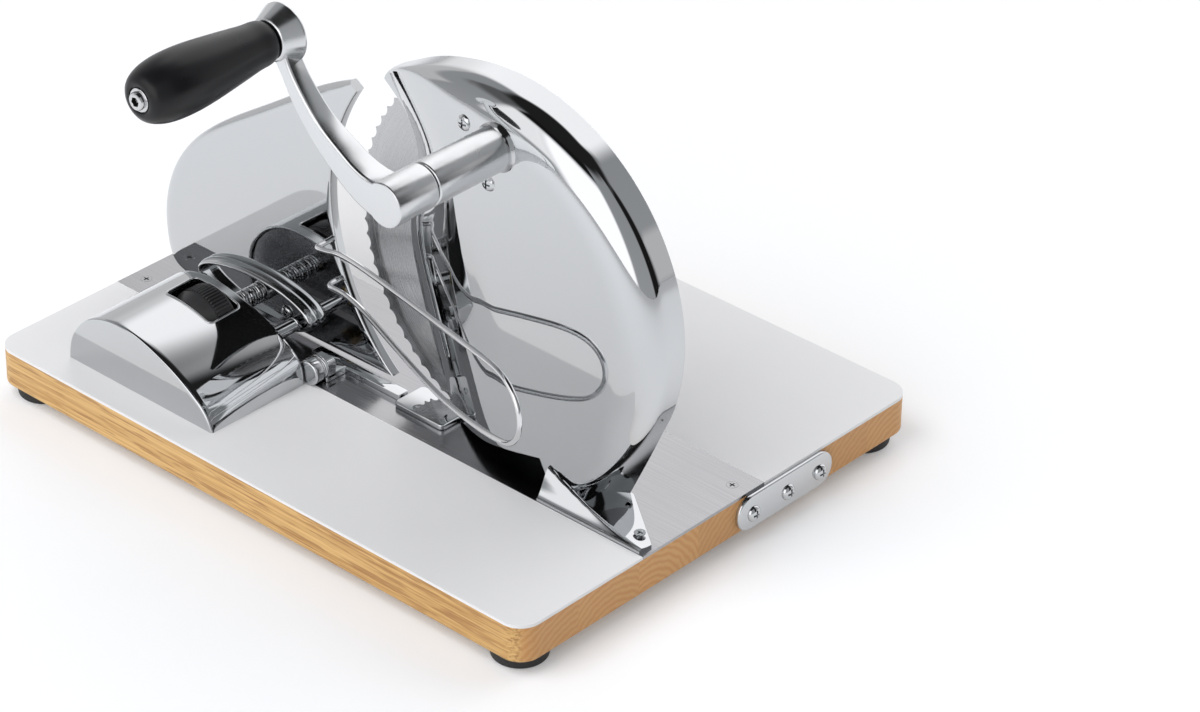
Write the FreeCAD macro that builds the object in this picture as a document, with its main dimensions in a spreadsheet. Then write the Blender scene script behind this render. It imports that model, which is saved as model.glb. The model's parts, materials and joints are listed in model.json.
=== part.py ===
import FreeCAD, Part
import math
import os
import re

import Sketcher

# Hand-cranked bread slicer: a blade in a dished guard on a wooden board, a crank with a gear train,
# a sliding gauge plate that sets the slice thickness, and a wire arm that holds the slices.
# Millimetres, +Z up. The origin is under the middle of the whole slicer, on the surface it stands on.
# +X runs along the long edge of the board, +Y from the crank handle to the loaf.

Vector = FreeCAD.Vector
Rotation = FreeCAD.Rotation

doc = FreeCAD.newDocument("BreadSlicer")
sheet = doc.addObject("Spreadsheet::Sheet", "Sizes")

SIZES = [
    # board
    ("board_length", 340.0),
    ("board_width", 266.0),
    ("wood_thickness", 18.5),
    ("panel_thickness", 1.5),
    ("foot_height", 7.0),
    ("foot_radius", 14.0),
    ("corner_radius", 11.0),
    ("left_edge", -172.0),
    ("front_edge", -101.5),
    ("deck", 27.0),
    ("strip_front", 77.6),
    ("strip_width", 82.2),
    ("board_screw_radius", 2.8),
    ("end_plate_length", 66.0),
    ("end_plate_thickness", 2.2),
    # blade and its guard
    ("blade_x", 60.0),
    ("blade_y", 9.5),
    ("blade_z", 114.5),
    ("blade_radius", 96.0),
    ("blade_thickness", 1.2),
    ("blade_teeth", 80.0),
    ("tooth_depth", 1.7),
    ("bevel_width", 6.5),
    ("guard_radius", 98.9),
    ("guard_wall", 1.9),
    ("guard_depth", 23.0),
    ("shoulder_radius", 12.0),
    ("foot_thickness", 3.0),
    ("axle_radius", 5.0),
    ("running_gap", 0.06),
    # gear train
    ("gear_module", 1.5),
    ("crank_teeth", 20.0),
    ("idler_teeth", 24.0),
    ("blade_gear_teeth", 40.0),
    ("gear_width", 6.0),
    ("gear_front", -9.0),
    ("gear_backlash", 0.25),
    # crank and grip
    ("crank_x", 70.4),
    ("crank_z", 191.3),
    ("nose_radius", 10.5),
    ("nose_length", 46.4),
    ("bush_radius", 7.5),
    ("shaft_radius", 5.0),
    ("arm_front", -84.5),
    ("arm_depth", 14.0),
    ("hub_length", 24.0),
    ("boss_x", 4.2),
    ("boss_z", 246.8),
    ("grip_length", 73.2),
    ("grip_bore", 3.06),
    # gauge plate and its drive
    ("gauge_front", 1.7),
    ("gauge_thickness", 5.0),
    ("spindle_x", -93.0),
    ("spindle_z", 45.5),
    ("spindle_radius", 3.6),
    ("cup_x", -98.3),
    ("cup_z", 40.6),
    ("cup_half_width", 38.9),
    ("cup_half_height", 12.8),
    ("cup_wall", 2.4),
    ("cup_depth", 6.0),
    ("guide_x", -68.0),
    ("guide_z", 39.0),
    ("guide_radius", 3.5),
    ("wheel_radius", 16.8),
    ("wheel_width", 20.1),
    ("wheel_front", -52.3),
    ("wire_radius", 1.35),
    # adjuster housing
    ("housing_front", -85.5),
    ("housing_rear", -27.5),
    ("housing_wall", 1.6),
    ("bracket_thickness", 3.5),
]
for row, (alias, number) in enumerate(SIZES, start=1):
    sheet.set("A%d" % row, alias.replace("_", " "))
    sheet.set("B%d" % row, "%g" % number)
    sheet.setAlias("B%d" % row, alias)
doc.recompute()

ALIASES = re.compile(r"\b(%s)\b" % "|".join(alias for alias, number in SIZES))
TO_Y = Rotation(Vector(1, 0, 0), -90)
TO_X = Rotation(Vector(0, 1, 0), 90)
FRONT_VIEW = Rotation(Vector(1, 0, 0), 90)
sub_parts = []


def size(alias):
    return float(getattr(sheet, alias))


def bound(text):
    """The expression with each alias named as a cell of the sheet."""
    return ALIASES.sub(r"Sizes.\1", str(text))


def bind(thing, **expressions):
    for name, text in expressions.items():
        thing.setExpression(name, bound(text))


def place(thing, x, y, z, rotation=Rotation()):
    thing.Placement = FreeCAD.Placement(Vector(), rotation)
    for axis, text in zip("xyz", (x, y, z)):
        thing.setExpression("Placement.Base." + axis, bound(text))
    return thing


def keep(thing, label):
    """Name a finished sub-part, which becomes one node."""
    thing.Label = label
    sub_parts.append(thing)
    return thing


# ---------------------------------------------------------------- shared construction

def rod(radius, length, x, y, z, rotation=TO_Y):
    """A cylinder whose foot is at the point; it runs along +Y unless turned."""
    thing = doc.addObject("Part::Cylinder", "Rod")
    bind(thing, Radius=radius, Height=length)
    return place(thing, x, y, z, rotation)


def taper(radius_1, radius_2, length, x, y, z, rotation=TO_Y):
    thing = doc.addObject("Part::Cone", "Taper")
    bind(thing, Radius1=radius_1, Radius2=radius_2, Height=length)
    return place(thing, x, y, z, rotation)


def block(length, width, height, x, y, z):
    thing = doc.addObject("Part::Box", "Block")
    bind(thing, Length=length, Width=width, Height=height)
    return place(thing, x, y, z)


def cut(base, *tools):
    tool = tools[0] if len(tools) == 1 else fuse(*tools)
    thing = doc.addObject("Part::Cut", "Cut")
    thing.Base = base
    thing.Tool = tool
    return thing


def fuse(*things):
    thing = doc.addObject("Part::MultiFuse", "Fuse")
    thing.Shapes = list(things)
    return thing


def common(*things):
    thing = doc.addObject("Part::MultiCommon", "Common")
    thing.Shapes = list(things)
    return thing


def rounded(base, radius, chosen):
    """Round the edges for which chosen(edge) is true."""
    doc.recompute()
    numbers = [n for n, edge in enumerate(base.Shape.Edges, start=1) if chosen(edge)]
    thing = doc.addObject("Part::Fillet", "Rounded")
    thing.Base = base
    thing.Edges = [(n, radius, radius) for n in numbers]
    return thing


def at_y(y, tolerance=0.01):
    """True for an edge that lies wholly in the plane at this y."""
    def test(edge):
        box = edge.BoundBox
        return abs(box.YMin - y) < tolerance and abs(box.YMax - y) < tolerance
    return test


def front_sketch(edges, x="0", y="0", z="0"):
    """A free sketch seen from the front: its x is +X and its y is +Z."""
    sketch = doc.addObject("Sketcher::SketchObject", "Outline")
    for edge in edges:
        sketch.addGeometry(edge, False)
    return place(sketch, x, y, z, FRONT_VIEW)


def extrude(sketch, depth):
    """Extrude a front sketch towards the front, which is -Y."""
    thing = doc.addObject("Part::Extrusion", "Extrusion")
    thing.Base = sketch
    thing.DirMode = "Custom"
    thing.Dir = Vector(0, -1, 0)
    thing.Solid = True
    bind(thing, LengthFwd=depth)
    return thing


def line(a, b):
    return Part.LineSegment(Vector(a[0], a[1], 0), Vector(b[0], b[1], 0))


def arc(a, middle, b):
    return Part.Arc(*[Vector(p[0], p[1], 0) for p in (a, middle, b)])


def curve(points):
    """A smooth curve through the points."""
    spline = Part.BSplineCurve()
    spline.interpolate([Vector(p[0], p[1], 0) for p in points])
    return spline


def polar(radius, degrees):
    angle = math.radians(degrees)
    return (radius * math.cos(angle), radius * math.sin(angle))


def plane_of(body, role):
    for feature in body.Origin.OriginFeatures:
        if feature.Role == role:
            return feature
    raise ValueError(role)


def body_sketch(body, role):
    sketch = body.newObject("Sketcher::SketchObject", "Sketch")
    sketch.AttachmentSupport = [(plane_of(body, role), "")]
    sketch.MapMode = "FlatFace"
    return sketch


def rectangle(sketch, width, height):
    """A rectangle from the sketch's origin, with its two sizes bound."""
    corners = [(0, 0), (10, 0), (10, 10), (0, 10)]
    for n in range(4):
        sketch.addGeometry(line(corners[n], corners[(n + 1) % 4]), False)
    for n in range(4):
        sketch.addConstraint(Sketcher.Constraint("Coincident", n, 2, (n + 1) % 4, 1))
    sketch.addConstraint(Sketcher.Constraint("Horizontal", 0))
    sketch.addConstraint(Sketcher.Constraint("Horizontal", 2))
    sketch.addConstraint(Sketcher.Constraint("Vertical", 1))
    sketch.addConstraint(Sketcher.Constraint("Vertical", 3))
    sketch.addConstraint(Sketcher.Constraint("Coincident", 0, 1, -1, 1))
    across = sketch.addConstraint(Sketcher.Constraint("DistanceX", 0, 1, 0, 2, 10.0))
    along = sketch.addConstraint(Sketcher.Constraint("DistanceY", 1, 1, 1, 2, 10.0))
    sketch.setExpression("Constraints[%d]" % across, bound(width))
    sketch.setExpression("Constraints[%d]" % along, bound(height))


def circle(sketch, x, y, radius):
    """A circle at a point right of and above the sketch's origin, with its radius bound."""
    shape = Part.Circle(Vector(x, y, 0), Vector(0, 0, 1), 1.0)
    number = sketch.addGeometry(shape, False)
    drive = sketch.addConstraint(Sketcher.Constraint("Radius", number, 1.0))
    sketch.setExpression("Constraints[%d]" % drive, bound(radius))
    if abs(x) < 1e-9 and abs(y) < 1e-9:
        sketch.addConstraint(Sketcher.Constraint("Coincident", number, 3, -1, 1))


def pad(body, sketch, length, reversed_side=False):
    feature = body.newObject("PartDesign::Pad", "Pad")
    feature.Profile = sketch
    feature.Reversed = reversed_side
    bind(feature, Length=length)
    doc.recompute()
    return feature


def pocket(body, sketch, length, reversed_side):
    before = body.Shape.Volume
    feature = body.newObject("PartDesign::Pocket", "Pocket")
    feature.Profile = sketch
    feature.Reversed = reversed_side
    bind(feature, Length=length)
    doc.recompute()
    if body.Shape.Volume > before - 0.01:
        raise RuntimeError("pocket cuts nothing in " + body.Label)
    return feature


def fillet(body, radius, chosen):
    base = body.Tip
    feature = body.newObject("PartDesign::Fillet", "Fillet")
    names = ["Edge%d" % n for n, edge in enumerate(base.Shape.Edges, start=1) if chosen(edge)]
    feature.Base = (base, names)
    bind(feature, Radius=radius)
    doc.recompute()
    return feature


def plate(label, length, width, thickness, x, y, z):
    """A flat plate from its front left corner, with its thickness upwards."""
    body = doc.addObject("PartDesign::Body", "Plate")
    place(body, x, y, z)
    sketch = body_sketch(body, "XY_Plane")
    rectangle(sketch, length, width)
    pad(body, sketch, thickness)
    return keep(body, label)


def turned(label, points, x, y, z, upright=False, rotation=Rotation(), kept=True):
    """A body turned from a closed profile of (radius, height) points about +Y, or +Z if upright.

    A point may be a list of three or more points, which is a smooth curve through them.
    """
    body = doc.addObject("PartDesign::Body", "Turned")
    place(body, x, y, z, rotation)
    sketch = body_sketch(body, "XZ_Plane" if upright else "XY_Plane")
    runs = [run if isinstance(run, list) else [run] for run in points]
    for number, run in enumerate(runs):
        following = runs[(number + 1) % len(runs)][0]
        if len(run) > 1:
            sketch.addGeometry(curve(run), False)
        if run[-1] != following:
            sketch.addGeometry(line(run[-1], following), False)
    doc.recompute()
    feature = body.newObject("PartDesign::Revolution", "Revolution")
    feature.Profile = sketch
    feature.ReferenceAxis = (sketch, ["V_Axis"])
    feature.Angle = 360
    doc.recompute()
    return keep(body, label) if kept else body


def group(label, source, places):
    """Separate copies of one fastener or foot, held in one node."""
    doc.recompute()
    copies = []
    for x, y, z, rotation in places:
        copy = source.Shape.copy()
        copy.Placement = FreeCAD.Placement(Vector(x, y, z), rotation)
        copies.append(copy)
    thing = doc.addObject("Part::Feature", "Group")
    thing.Shape = Part.makeCompound(copies)
    return keep(thing, label)


def vertical(edge):
    box = edge.BoundBox
    return box.ZLength > 0.5 and box.XLength < 0.01 and box.YLength < 0.01


# ---------------------------------------------------------------- fasteners

def countersunk_screw(head, shank, length):
    """Cross recess screw: its flat head is level with the placing point, its shank goes down."""
    sink = head - shank
    profile = [(0, 0), (head, 0), (shank, -sink), (shank, -length), (0, -length)]
    return recessed(turned("Screw", profile, 0, 0, 0, upright=True, kept=False), head, 0)


def pan_screw(head, height, shank, length):
    """Cross recess screw with a domed head that stands on the placing point."""
    dome = [(head, 0), (head * 0.9, height * 0.6), (head * 0.6, height * 0.9), (0, height)]
    profile = [dome, (0, -length), (shank, -length), (shank, 0)]
    return recessed(turned("Screw", profile, 0, 0, 0, upright=True, kept=False), head, height)


def recessed(screw, head, top):
    arm = head * 1.1
    width = head * 0.26
    bars = []
    for length, depth in ((arm, width), (width, arm)):
        bars.append(block(length, depth, 2, -length / 2, -depth / 2, top - head * 0.35))
    return cut(screw, *bars)


# ---------------------------------------------------------------- board

LEFT = size("left_edge")
FRONT = size("front_edge")
DECK = size("deck")
STRIP_FRONT = FRONT + size("strip_front")
STRIP_REAR = STRIP_FRONT + size("strip_width")
RIGHT = LEFT + size("board_length")
REAR = FRONT + size("board_width")
UNDER = size("foot_height")

SLOT = ("85", "4.4", "10.6")
SLOT_PLACE = ("blade_x - 42.5", "blade_y - 2.8", "deck - 10.5")
BOARD_SCREWS = [(8.3, 89.0), (8.3, 148.0), (331.0, 148.0)]
GUARD_SCREW = (329.0, 88.0)
LUG_SCREW = (187.0, 93.5)
END_SCREWS = [150.5, 174.5, 197.0]
FOOT_PLACES = [(16.0, 16.0), (20.0, 133.0), (16.0, 250.0),
               (324.0, 16.0), (320.0, 133.0), (324.0, 250.0)]


def vertical_at(y):
    """True for an upright edge at this depth."""
    return lambda edge: vertical(edge) and abs(edge.CenterOfMass.y - y) < 1


def build_board():
    board = doc.addObject("PartDesign::Body", "Board")
    place(board, "left_edge", "front_edge", "foot_height")
    sketch = body_sketch(board, "XY_Plane")
    rectangle(sketch, "board_length", "board_width")
    pad(board, sketch, "wood_thickness")
    fillet(board, "corner_radius", vertical)
    fillet(board, 1.5, lambda edge: abs(edge.BoundBox.ZMax) < 0.01)
    slot = block(*SLOT, *SLOT_PLACE)
    holes = [rod("board_screw_radius * 0.5", "9", x + LEFT, y + FRONT, "deck - 9", Rotation())
             for x, y in BOARD_SCREWS + [GUARD_SCREW, LUG_SCREW]]
    for x, y in FOOT_PLACES:
        holes.append(rod("1.6", "12", x + LEFT, y + FRONT, "foot_height", Rotation()))
    for y in END_SCREWS:
        holes.append(rod("1.8", "14", RIGHT - 14, y + FRONT, "deck - 11.5", TO_X))
    keep(cut(board, slot, *holes), "wood_board")

    front = plate("front_panel", "board_length", "strip_front", "panel_thickness",
                  "left_edge", "front_edge", "deck - panel_thickness")
    fillet(front, "corner_radius", vertical_at(0))
    rear = plate("rear_panel", "board_length", "board_width - strip_front - strip_width",
                 "panel_thickness", "left_edge", "front_edge + strip_front + strip_width",
                 "deck - panel_thickness")
    fillet(rear, "corner_radius", vertical_at(REAR - STRIP_REAR))

    strip = block("board_length", "strip_width", "panel_thickness",
                  "left_edge", "front_edge + strip_front", "deck - panel_thickness")
    sinks = [block(*SLOT, *SLOT_PLACE)]
    for x, y in BOARD_SCREWS:
        sinks.append(taper("board_screw_radius * 0.5", "board_screw_radius",
                           "board_screw_radius * 0.5", x + LEFT, y + FRONT,
                           "deck - board_screw_radius * 0.5", Rotation()))
        sinks.append(rod("board_screw_radius * 0.5", "3", x + LEFT, y + FRONT, "deck - 3",
                         Rotation()))
    for x, y in (GUARD_SCREW, LUG_SCREW):
        sinks.append(rod("board_screw_radius * 0.5", "3", x + LEFT, y + FRONT, "deck - 2",
                         Rotation()))
    keep(cut(strip, *sinks), "steel_strip")

    head = size("board_screw_radius")
    screw = countersunk_screw(head, head / 2, 9)
    group("strip_screws", screw,
          [(x + LEFT, y + FRONT, DECK, Rotation()) for x, y in BOARD_SCREWS])
    thickness = size("foot_thickness")
    group("guard_screws", screw,
          [(x + LEFT, y + FRONT, DECK + thickness, Rotation())
           for x, y in (GUARD_SCREW, LUG_SCREW)])

    build_feet()
    build_end_plate()


def build_feet():
    radius = size("foot_radius")
    height = size("foot_height")
    foot = turned("Foot", [(0, 2.6), (4.2, 2.6), (4.2, 0.5), [(5, 0), (radius - 3.4, 0)],
                           [(radius - 2.6, 0), (radius - 1.2, 0.6), (radius - 0.8, 2)],
                           (radius, height), (1.7, height), (1.7, 4.2), (0, 4.2)],
                  0, 0, 0, upright=True, kept=False)
    hollow = cut(foot, rod("1.7", "foot_height", "0", "0", "0", Rotation()))
    group("rubber_feet", hollow,
          [(x + LEFT, y + FRONT, 0, Rotation()) for x, y in FOOT_PLACES])
    screw = pan_screw(3.6, 1.8, 1.6, 14)
    down = Rotation(Vector(1, 0, 0), 180)
    group("foot_screws", screw,
          [(x + LEFT, y + FRONT, 2.6, down) for x, y in FOOT_PLACES])


def build_end_plate():
    radius = 9.0
    length = size("end_plate_length")
    plate_body = doc.addObject("PartDesign::Body", "EndPlate")
    place(plate_body, RIGHT, FRONT + 140 + radius, "deck - 1.5 - 9")
    sketch = body_sketch(plate_body, "YZ_Plane")
    far = length - 2 * radius
    edges = [line((0, -radius), (far, -radius)),
             arc((far, -radius), (far + radius, 0), (far, radius)),
             line((far, radius), (0, radius)),
             arc((0, radius), (-radius, 0), (0, -radius))]
    for edge in edges:
        sketch.addGeometry(edge, False)
    pad(plate_body, sketch, "end_plate_thickness")
    holes = [rod("1.8", "4", RIGHT - 1, y + FRONT, "deck - 11.5", TO_X) for y in END_SCREWS]
    keep(cut(plate_body, *holes), "end_plate")
    screw = pan_screw(4.0, 2.2, 1.8, 14)
    group("end_plate_screws", screw,
          [(RIGHT + size("end_plate_thickness"), y + FRONT, DECK - 11.5, TO_X)
           for y in END_SCREWS])


# ---------------------------------------------------------------- guard

GUARD_SKIRT = -27.0
FLARE = [(96.0, 0.0), (105.5, 0.5), (112.3, 1.3), (119.6, 2.4), (128.7, 4.2), (135.8, 5.7)]
OPENING = [(-76.8, 70.0), (-71.4, 65.6), (-65.6, 60.4), (-60.4, 54.0), (-56.2, 45.5), (-55.4, 36.7),
           (-57.2, 22.0), (-59.8, 9.0), (-60.6, -2.6), (-59.0, -14.3), (-54.8, -30.0),
           (-46.5, -55.0), (-32.0, -87.5)]


def guard_outline(inset):
    """The guard seen from the front, about the blade's centre, drawn inset by a wall."""
    radius = size("guard_radius") - inset
    floor = size("deck") - size("blade_z")
    low = floor - (2.0 if inset else 0.0)
    skirt = polar(radius, GUARD_SKIRT)
    right = (70.0 - inset, low)
    flare = [polar(radius + rise, degrees - inset * 0.4) for degrees, rise in FLARE]
    opening = [(x + inset * 1.05, z - inset * 0.25) for x, z in OPENING]
    opening[0] = (opening[0][0], opening[0][1] - inset * 0.7)
    opening[-1] = (opening[-1][0], low)
    return [curve(flare + opening[:1]), curve(opening), line(opening[-1], right),
            line(right, skirt), arc(skirt, polar(radius, 35), flare[0])]


# Levels of the ramp about the blade's centre: height, lip and crease.
RAMP = [(-92.0, -32.0, 14.0), (-72.0, -40.0, 11.0), (-50.0, -48.2, 7.0), (-30.0, -54.8, 2.0),
        (-12.0, -59.4, -2.5), (4.0, -60.6, -6.5), (20.0, -58.4, -10.0), (36.0, -55.8, -12.6),
        (52.0, -59.4, -13.4), (66.0, -68.0, -13.2), (80.0, -76.0, -11.6), (104.0, -82.0, -8.0)]
LIP = 1.3


def ramp_cutter(lift):
    """What is cut from the front so that it falls from the crease to the thin lip at the opening."""
    start = -size("blade_thickness") - 0.6 - LIP + lift
    fall = size("guard_depth") - size("blade_thickness") - 0.6 - LIP
    wires = []
    for height, lip, crease in RAMP:
        run = crease - lip
        points = []
        for step in (-0.2, 0.0, 0.25, 0.5, 0.75, 1.0, 1.15):
            share = 0.72 * (1 - (1 - step) * abs(1 - step) ** 0.5) + 0.28 * step
            points.append(Vector(lip + run * step, start - fall * share, height))
        bend = Part.BSplineCurve()
        bend.interpolate(points)
        first = Vector(points[0].x, -60, height)
        last = Vector(points[-1].x, -60, height)
        wires.append(Part.Wire([bend.toShape(), Part.makeLine(points[-1], last),
                                Part.makeLine(last, first), Part.makeLine(first, points[0])]))
    thing = doc.addObject("Part::Feature", "Ramp")
    thing.Shape = Part.makeLoft(wires, True, False)
    return place(thing, "blade_x", "blade_y", "blade_z")


def guard_solid(inset, radius, depth):
    solid = extrude(front_sketch(guard_outline(inset), "blade_x", "blade_y", "blade_z"), depth)
    face = size("blade_y") - (size("guard_depth") - inset)
    centre = size("blade_x")

    def front_edge(edge):
        box = edge.BoundBox
        return at_y(face)(edge) and box.ZLength > 20 and box.XMax > centre - 30
    dish = rounded(solid, radius, front_edge)
    return cut(dish, ramp_cutter(inset * 1.1))


def build_guard():
    shoulder = size("shoulder_radius")
    wall = size("guard_wall")
    outer = guard_solid(0.0, shoulder, "guard_depth")
    inner = guard_solid(wall, shoulder - wall, "guard_depth - guard_wall")
    shell = cut(outer, inner)

    face_y = "blade_y - guard_depth"
    nose = rod("nose_radius", "nose_length + 1", "crank_x", face_y + " - nose_length", "crank_z")
    flare = taper("nose_radius", "nose_radius + 5", "8.5", "crank_x", face_y + " - 7.5", "crank_z")
    rear_boss = rod("nose_radius", "10.4", "crank_x", face_y + " + 0.5", "crank_z")
    idler_boss = rod("7", "10.5", IDLER[0], face_y + " + 1", IDLER[1])
    axle_boss = rod("9.5", "10.5", "blade_x", face_y + " + 1", "blade_z")
    oval = stadium_pad()

    foot = wing()
    lug = block("31", "19.4", "foot_thickness", "3", "-12.2", "deck")
    body = fuse(shell, nose, flare, rear_boss, idler_boss, axle_boss, oval, foot, lug)

    bores = [rod("bush_radius", "nose_length + 12", "crank_x", face_y + " - nose_length - 0.5",
                 "crank_z"),
             rod("3", "8", IDLER[0], face_y + " + 4", IDLER[1]),
             rod("axle_radius - 1", "9", "blade_x", face_y + " + 3", "blade_z")]
    for x, y in (GUARD_SCREW, LUG_SCREW):
        bores.append(rod("board_screw_radius * 0.5", "6", x + LEFT, y + FRONT, "deck - 1",
                         Rotation()))
        bores.append(taper("board_screw_radius * 0.5", "board_screw_radius",
                           "board_screw_radius * 0.5", x + LEFT, y + FRONT,
                           "deck + foot_thickness - board_screw_radius * 0.5", Rotation()))
    for x, z in case_screw_places():
        bores.append(rod("1.5", "9", x, face_y + " - 1", z))
    bores.append(rod("blade_radius + 1", "8", "blade_x", "blade_y - blade_thickness - 0.6",
                     "blade_z"))
    keep(cut(body, *bores), "blade_guard")

    screw = pan_screw(3.4, 1.7, 1.5, 6)
    forward = Rotation(Vector(1, 0, 0), 90)
    face = size("blade_y") - size("guard_depth")
    group("gearcase_screws", screw, [(x, face, z, forward) for x, z in case_screw_places()])


def case_screw_places():
    """Two domed screws beside the crank bearing."""
    places = []
    for degrees in (167.0, 257.0):
        x, z = polar(20.0, degrees)
        places.append((size("crank_x") + x, size("crank_z") + z))
    return places


def stadium_pad():
    """The raised oval on the front of the guard, left bare."""
    half = 29.5
    radius = 10.5
    edges = [line((-half, -radius), (half, -radius)),
             arc((half, -radius), (half + radius, 0), (half, radius)),
             line((half, radius), (-half, radius)),
             arc((-half, radius), (-half - radius, 0), (-half, -radius))]
    outline = front_sketch(edges, "blade_x + 36", "blade_y - guard_depth + 0.5", "blade_z - 3.5")
    return extrude(outline, "1.2")


def wing():
    """The low foot of the guard, screwed to the steel strip, with a hip that rises to the shell."""
    floor = DECK
    top = floor + size("foot_thickness")
    outline = [(112, -23.6), (165.6, -23.6), (165.6, -15.5), (133, 9.0), (116, 9.0)]
    sole = prism(outline, floor, top)
    base = [(112, -22.0), (150, -22.0), (130, 8.6), (118, 8.6)]
    ridge = [(112, -10.0), (124, -8.0), (128, 6.0), (120, 6.0)]
    hip = loft(base, top - 0.5, ridge, floor + 15)
    return fuse(sole, hip)


def prism(points, low, high):
    thing = doc.addObject("Part::Feature", "Prism")
    corners = [Vector(x, y, low) for x, y in points]
    face = Part.Face(Part.makePolygon(corners + corners[:1]))
    thing.Shape = face.extrude(Vector(0, 0, high - low))
    return thing


def loft(base, low, ridge, high):
    thing = doc.addObject("Part::Feature", "Hip")
    wires = []
    for points, level in ((base, low), (ridge, high)):
        corners = [Vector(x, y, level) for x, y in points]
        wires.append(Part.makePolygon(corners + corners[:1]))
    thing.Shape = Part.makeLoft(wires, True, True)
    return thing


# ---------------------------------------------------------------- gears and bearings

def pitch_radius(teeth_alias):
    return size("gear_module") * size(teeth_alias) / 2


def idler_centre():
    """Where a wheel meshes both with the crank gear and with the blade gear, on the right."""
    near = pitch_radius("blade_gear_teeth") + pitch_radius("idler_teeth")
    far = pitch_radius("crank_teeth") + pitch_radius("idler_teeth")
    dx = size("crank_x") - size("blade_x")
    dz = size("crank_z") - size("blade_z")
    span = math.hypot(dx, dz)
    along = (near ** 2 - far ** 2 + span ** 2) / (2 * span)
    aside = math.sqrt(near ** 2 - along ** 2)
    x = size("blade_x") + (dx * along + dz * aside) / span
    z = size("blade_z") + (dz * along - dx * aside) / span
    return (x, z)


IDLER = idler_centre()


def involute(base, reach):
    """The involute point of a base circle at a given distance, as radius and angle."""
    turn = math.sqrt(max((reach / base) ** 2 - 1, 0))
    return turn - math.atan(turn)


def gear(label, teeth_alias, x, z, bore, phase, extra=None):
    """A spur gear about +Y. The phase is the angle of the middle of one tooth, in degrees."""
    module = size("gear_module")
    teeth = int(size(teeth_alias))
    pitch = pitch_radius(teeth_alias)
    base = pitch * math.cos(math.radians(20))
    tip = pitch + module
    root = pitch - 1.25 * module
    half = math.pi / (2 * teeth) - size("gear_backlash") / (2 * pitch)
    start = max(base, root)

    def flank(reach):
        return half + involute(base, pitch) - involute(base, reach)

    body = doc.addObject("PartDesign::Body", "Gear")
    place(body, x, "blade_y + gear_front + gear_width", z)
    disc = body_sketch(body, "XZ_Plane")
    circle(disc, 0, 0, root)
    pad(body, disc, "gear_width")
    tooth = body_sketch(body, "XZ_Plane")
    middle = math.radians(phase)

    def point(reach, angle):
        return (reach * math.cos(middle + angle), reach * math.sin(middle + angle))

    inner = root - 0.6
    between = (start + tip) / 2
    left_root = point(inner, flank(start))
    right_root = point(inner, -flank(start))
    left_start = point(start, flank(start))
    right_start = point(start, -flank(start))
    left_tip = point(tip, flank(tip))
    right_tip = point(tip, -flank(tip))
    edges = [line(right_root, right_start),
             arc(right_start, point(between, -flank(between)), right_tip),
             arc(right_tip, point(tip, 0), left_tip),
             arc(left_tip, point(between, flank(between)), left_start),
             line(left_start, left_root),
             line(left_root, right_root)]
    for edge in edges:
        tooth.addGeometry(edge, False)
    feature = pad(body, tooth, "gear_width")
    pattern = body.newObject("PartDesign::PolarPattern", "Teeth")
    pattern.Originals = [feature]
    pattern.Axis = (disc, ["N_Axis"])
    pattern.Angle = 360
    pattern.Occurrences = teeth
    body.Tip = pattern
    doc.recompute()
    if bore:
        hole = body_sketch(body, "XZ_Plane")
        circle(hole, 0, 0, bore)
        pocket(body, hole, "gear_width", True)
    shape = fuse(body, *extra) if extra else body
    return keep(shape, label)


def build_gear_train():
    """The idler meshes above with the crank gear and below with the blade gear."""
    gap = "running_gap"
    idler_x, idler_z = IDLER
    to_crank = math.degrees(math.atan2(size("crank_z") - idler_z, size("crank_x") - idler_x))
    to_blade = math.degrees(math.atan2(size("blade_z") - idler_z, size("blade_x") - idler_x))
    idler_phase = to_crank
    crank_phase = to_crank + 180 + 180 / size("crank_teeth")
    idler_pitch_angle = 360 / size("idler_teeth")
    offset = (to_blade - idler_phase) % idler_pitch_angle
    turn = offset * size("idler_teeth") / size("blade_gear_teeth")
    blade_phase = to_blade + 180 + 180 / size("blade_gear_teeth") + turn

    gear("idler_gear", "idler_teeth", idler_x, idler_z, "4 + " + gap, idler_phase)
    gear("crank_gear", "crank_teeth", "crank_x", "crank_z", "shaft_radius", crank_phase)
    hub = cut(rod("15", "-gear_front - gear_width - blade_thickness", "blade_x",
                  "blade_y + gear_front + gear_width", "blade_z"),
              rod("axle_radius + " + gap, "5", "blade_x", "blade_y + gear_front + gear_width - 1",
                  "blade_z"))
    gear("blade_gear", "blade_gear_teeth", "blade_x", "blade_z", "axle_radius + " + gap,
         blade_phase, [hub])

    front = "blade_y - guard_depth"
    keep(cut(rod("bush_radius", "12", "crank_x", front + " - nose_length + 0.4", "crank_z"),
             rod("shaft_radius + " + gap, "14", "crank_x", front + " - nose_length - 1",
                 "crank_z")), "front_bush")
    keep(cut(rod("bush_radius", "12", "crank_x", front + " - 1.2", "crank_z"),
             rod("shaft_radius + " + gap, "14", "crank_x", front + " - 2", "crank_z")),
         "rear_bush")
    keep(fuse(rod("3", "7.5", idler_x, front + " + 4", idler_z),
              rod("4", "9.7", idler_x, front + " + 11.5", idler_z),
              rod("6", "0.9", idler_x, front + " + 20.3", idler_z)), "idler_pin")
    keep(fuse(rod("axle_radius - 1", "8.5", "blade_x", front + " + 3", "blade_z"),
              rod("axle_radius", "11.8", "blade_x", front + " + 11.5", "blade_z")), "blade_axle")
    turned("blade_cap", [(0, 0), (9.4, 0), [(9.4, 0.8), (8.8, 1.7), (6.5, 2.4), (0, 2.8)]],
           "blade_x", "blade_y + 0.3", "blade_z")


# ---------------------------------------------------------------- blade

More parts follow.
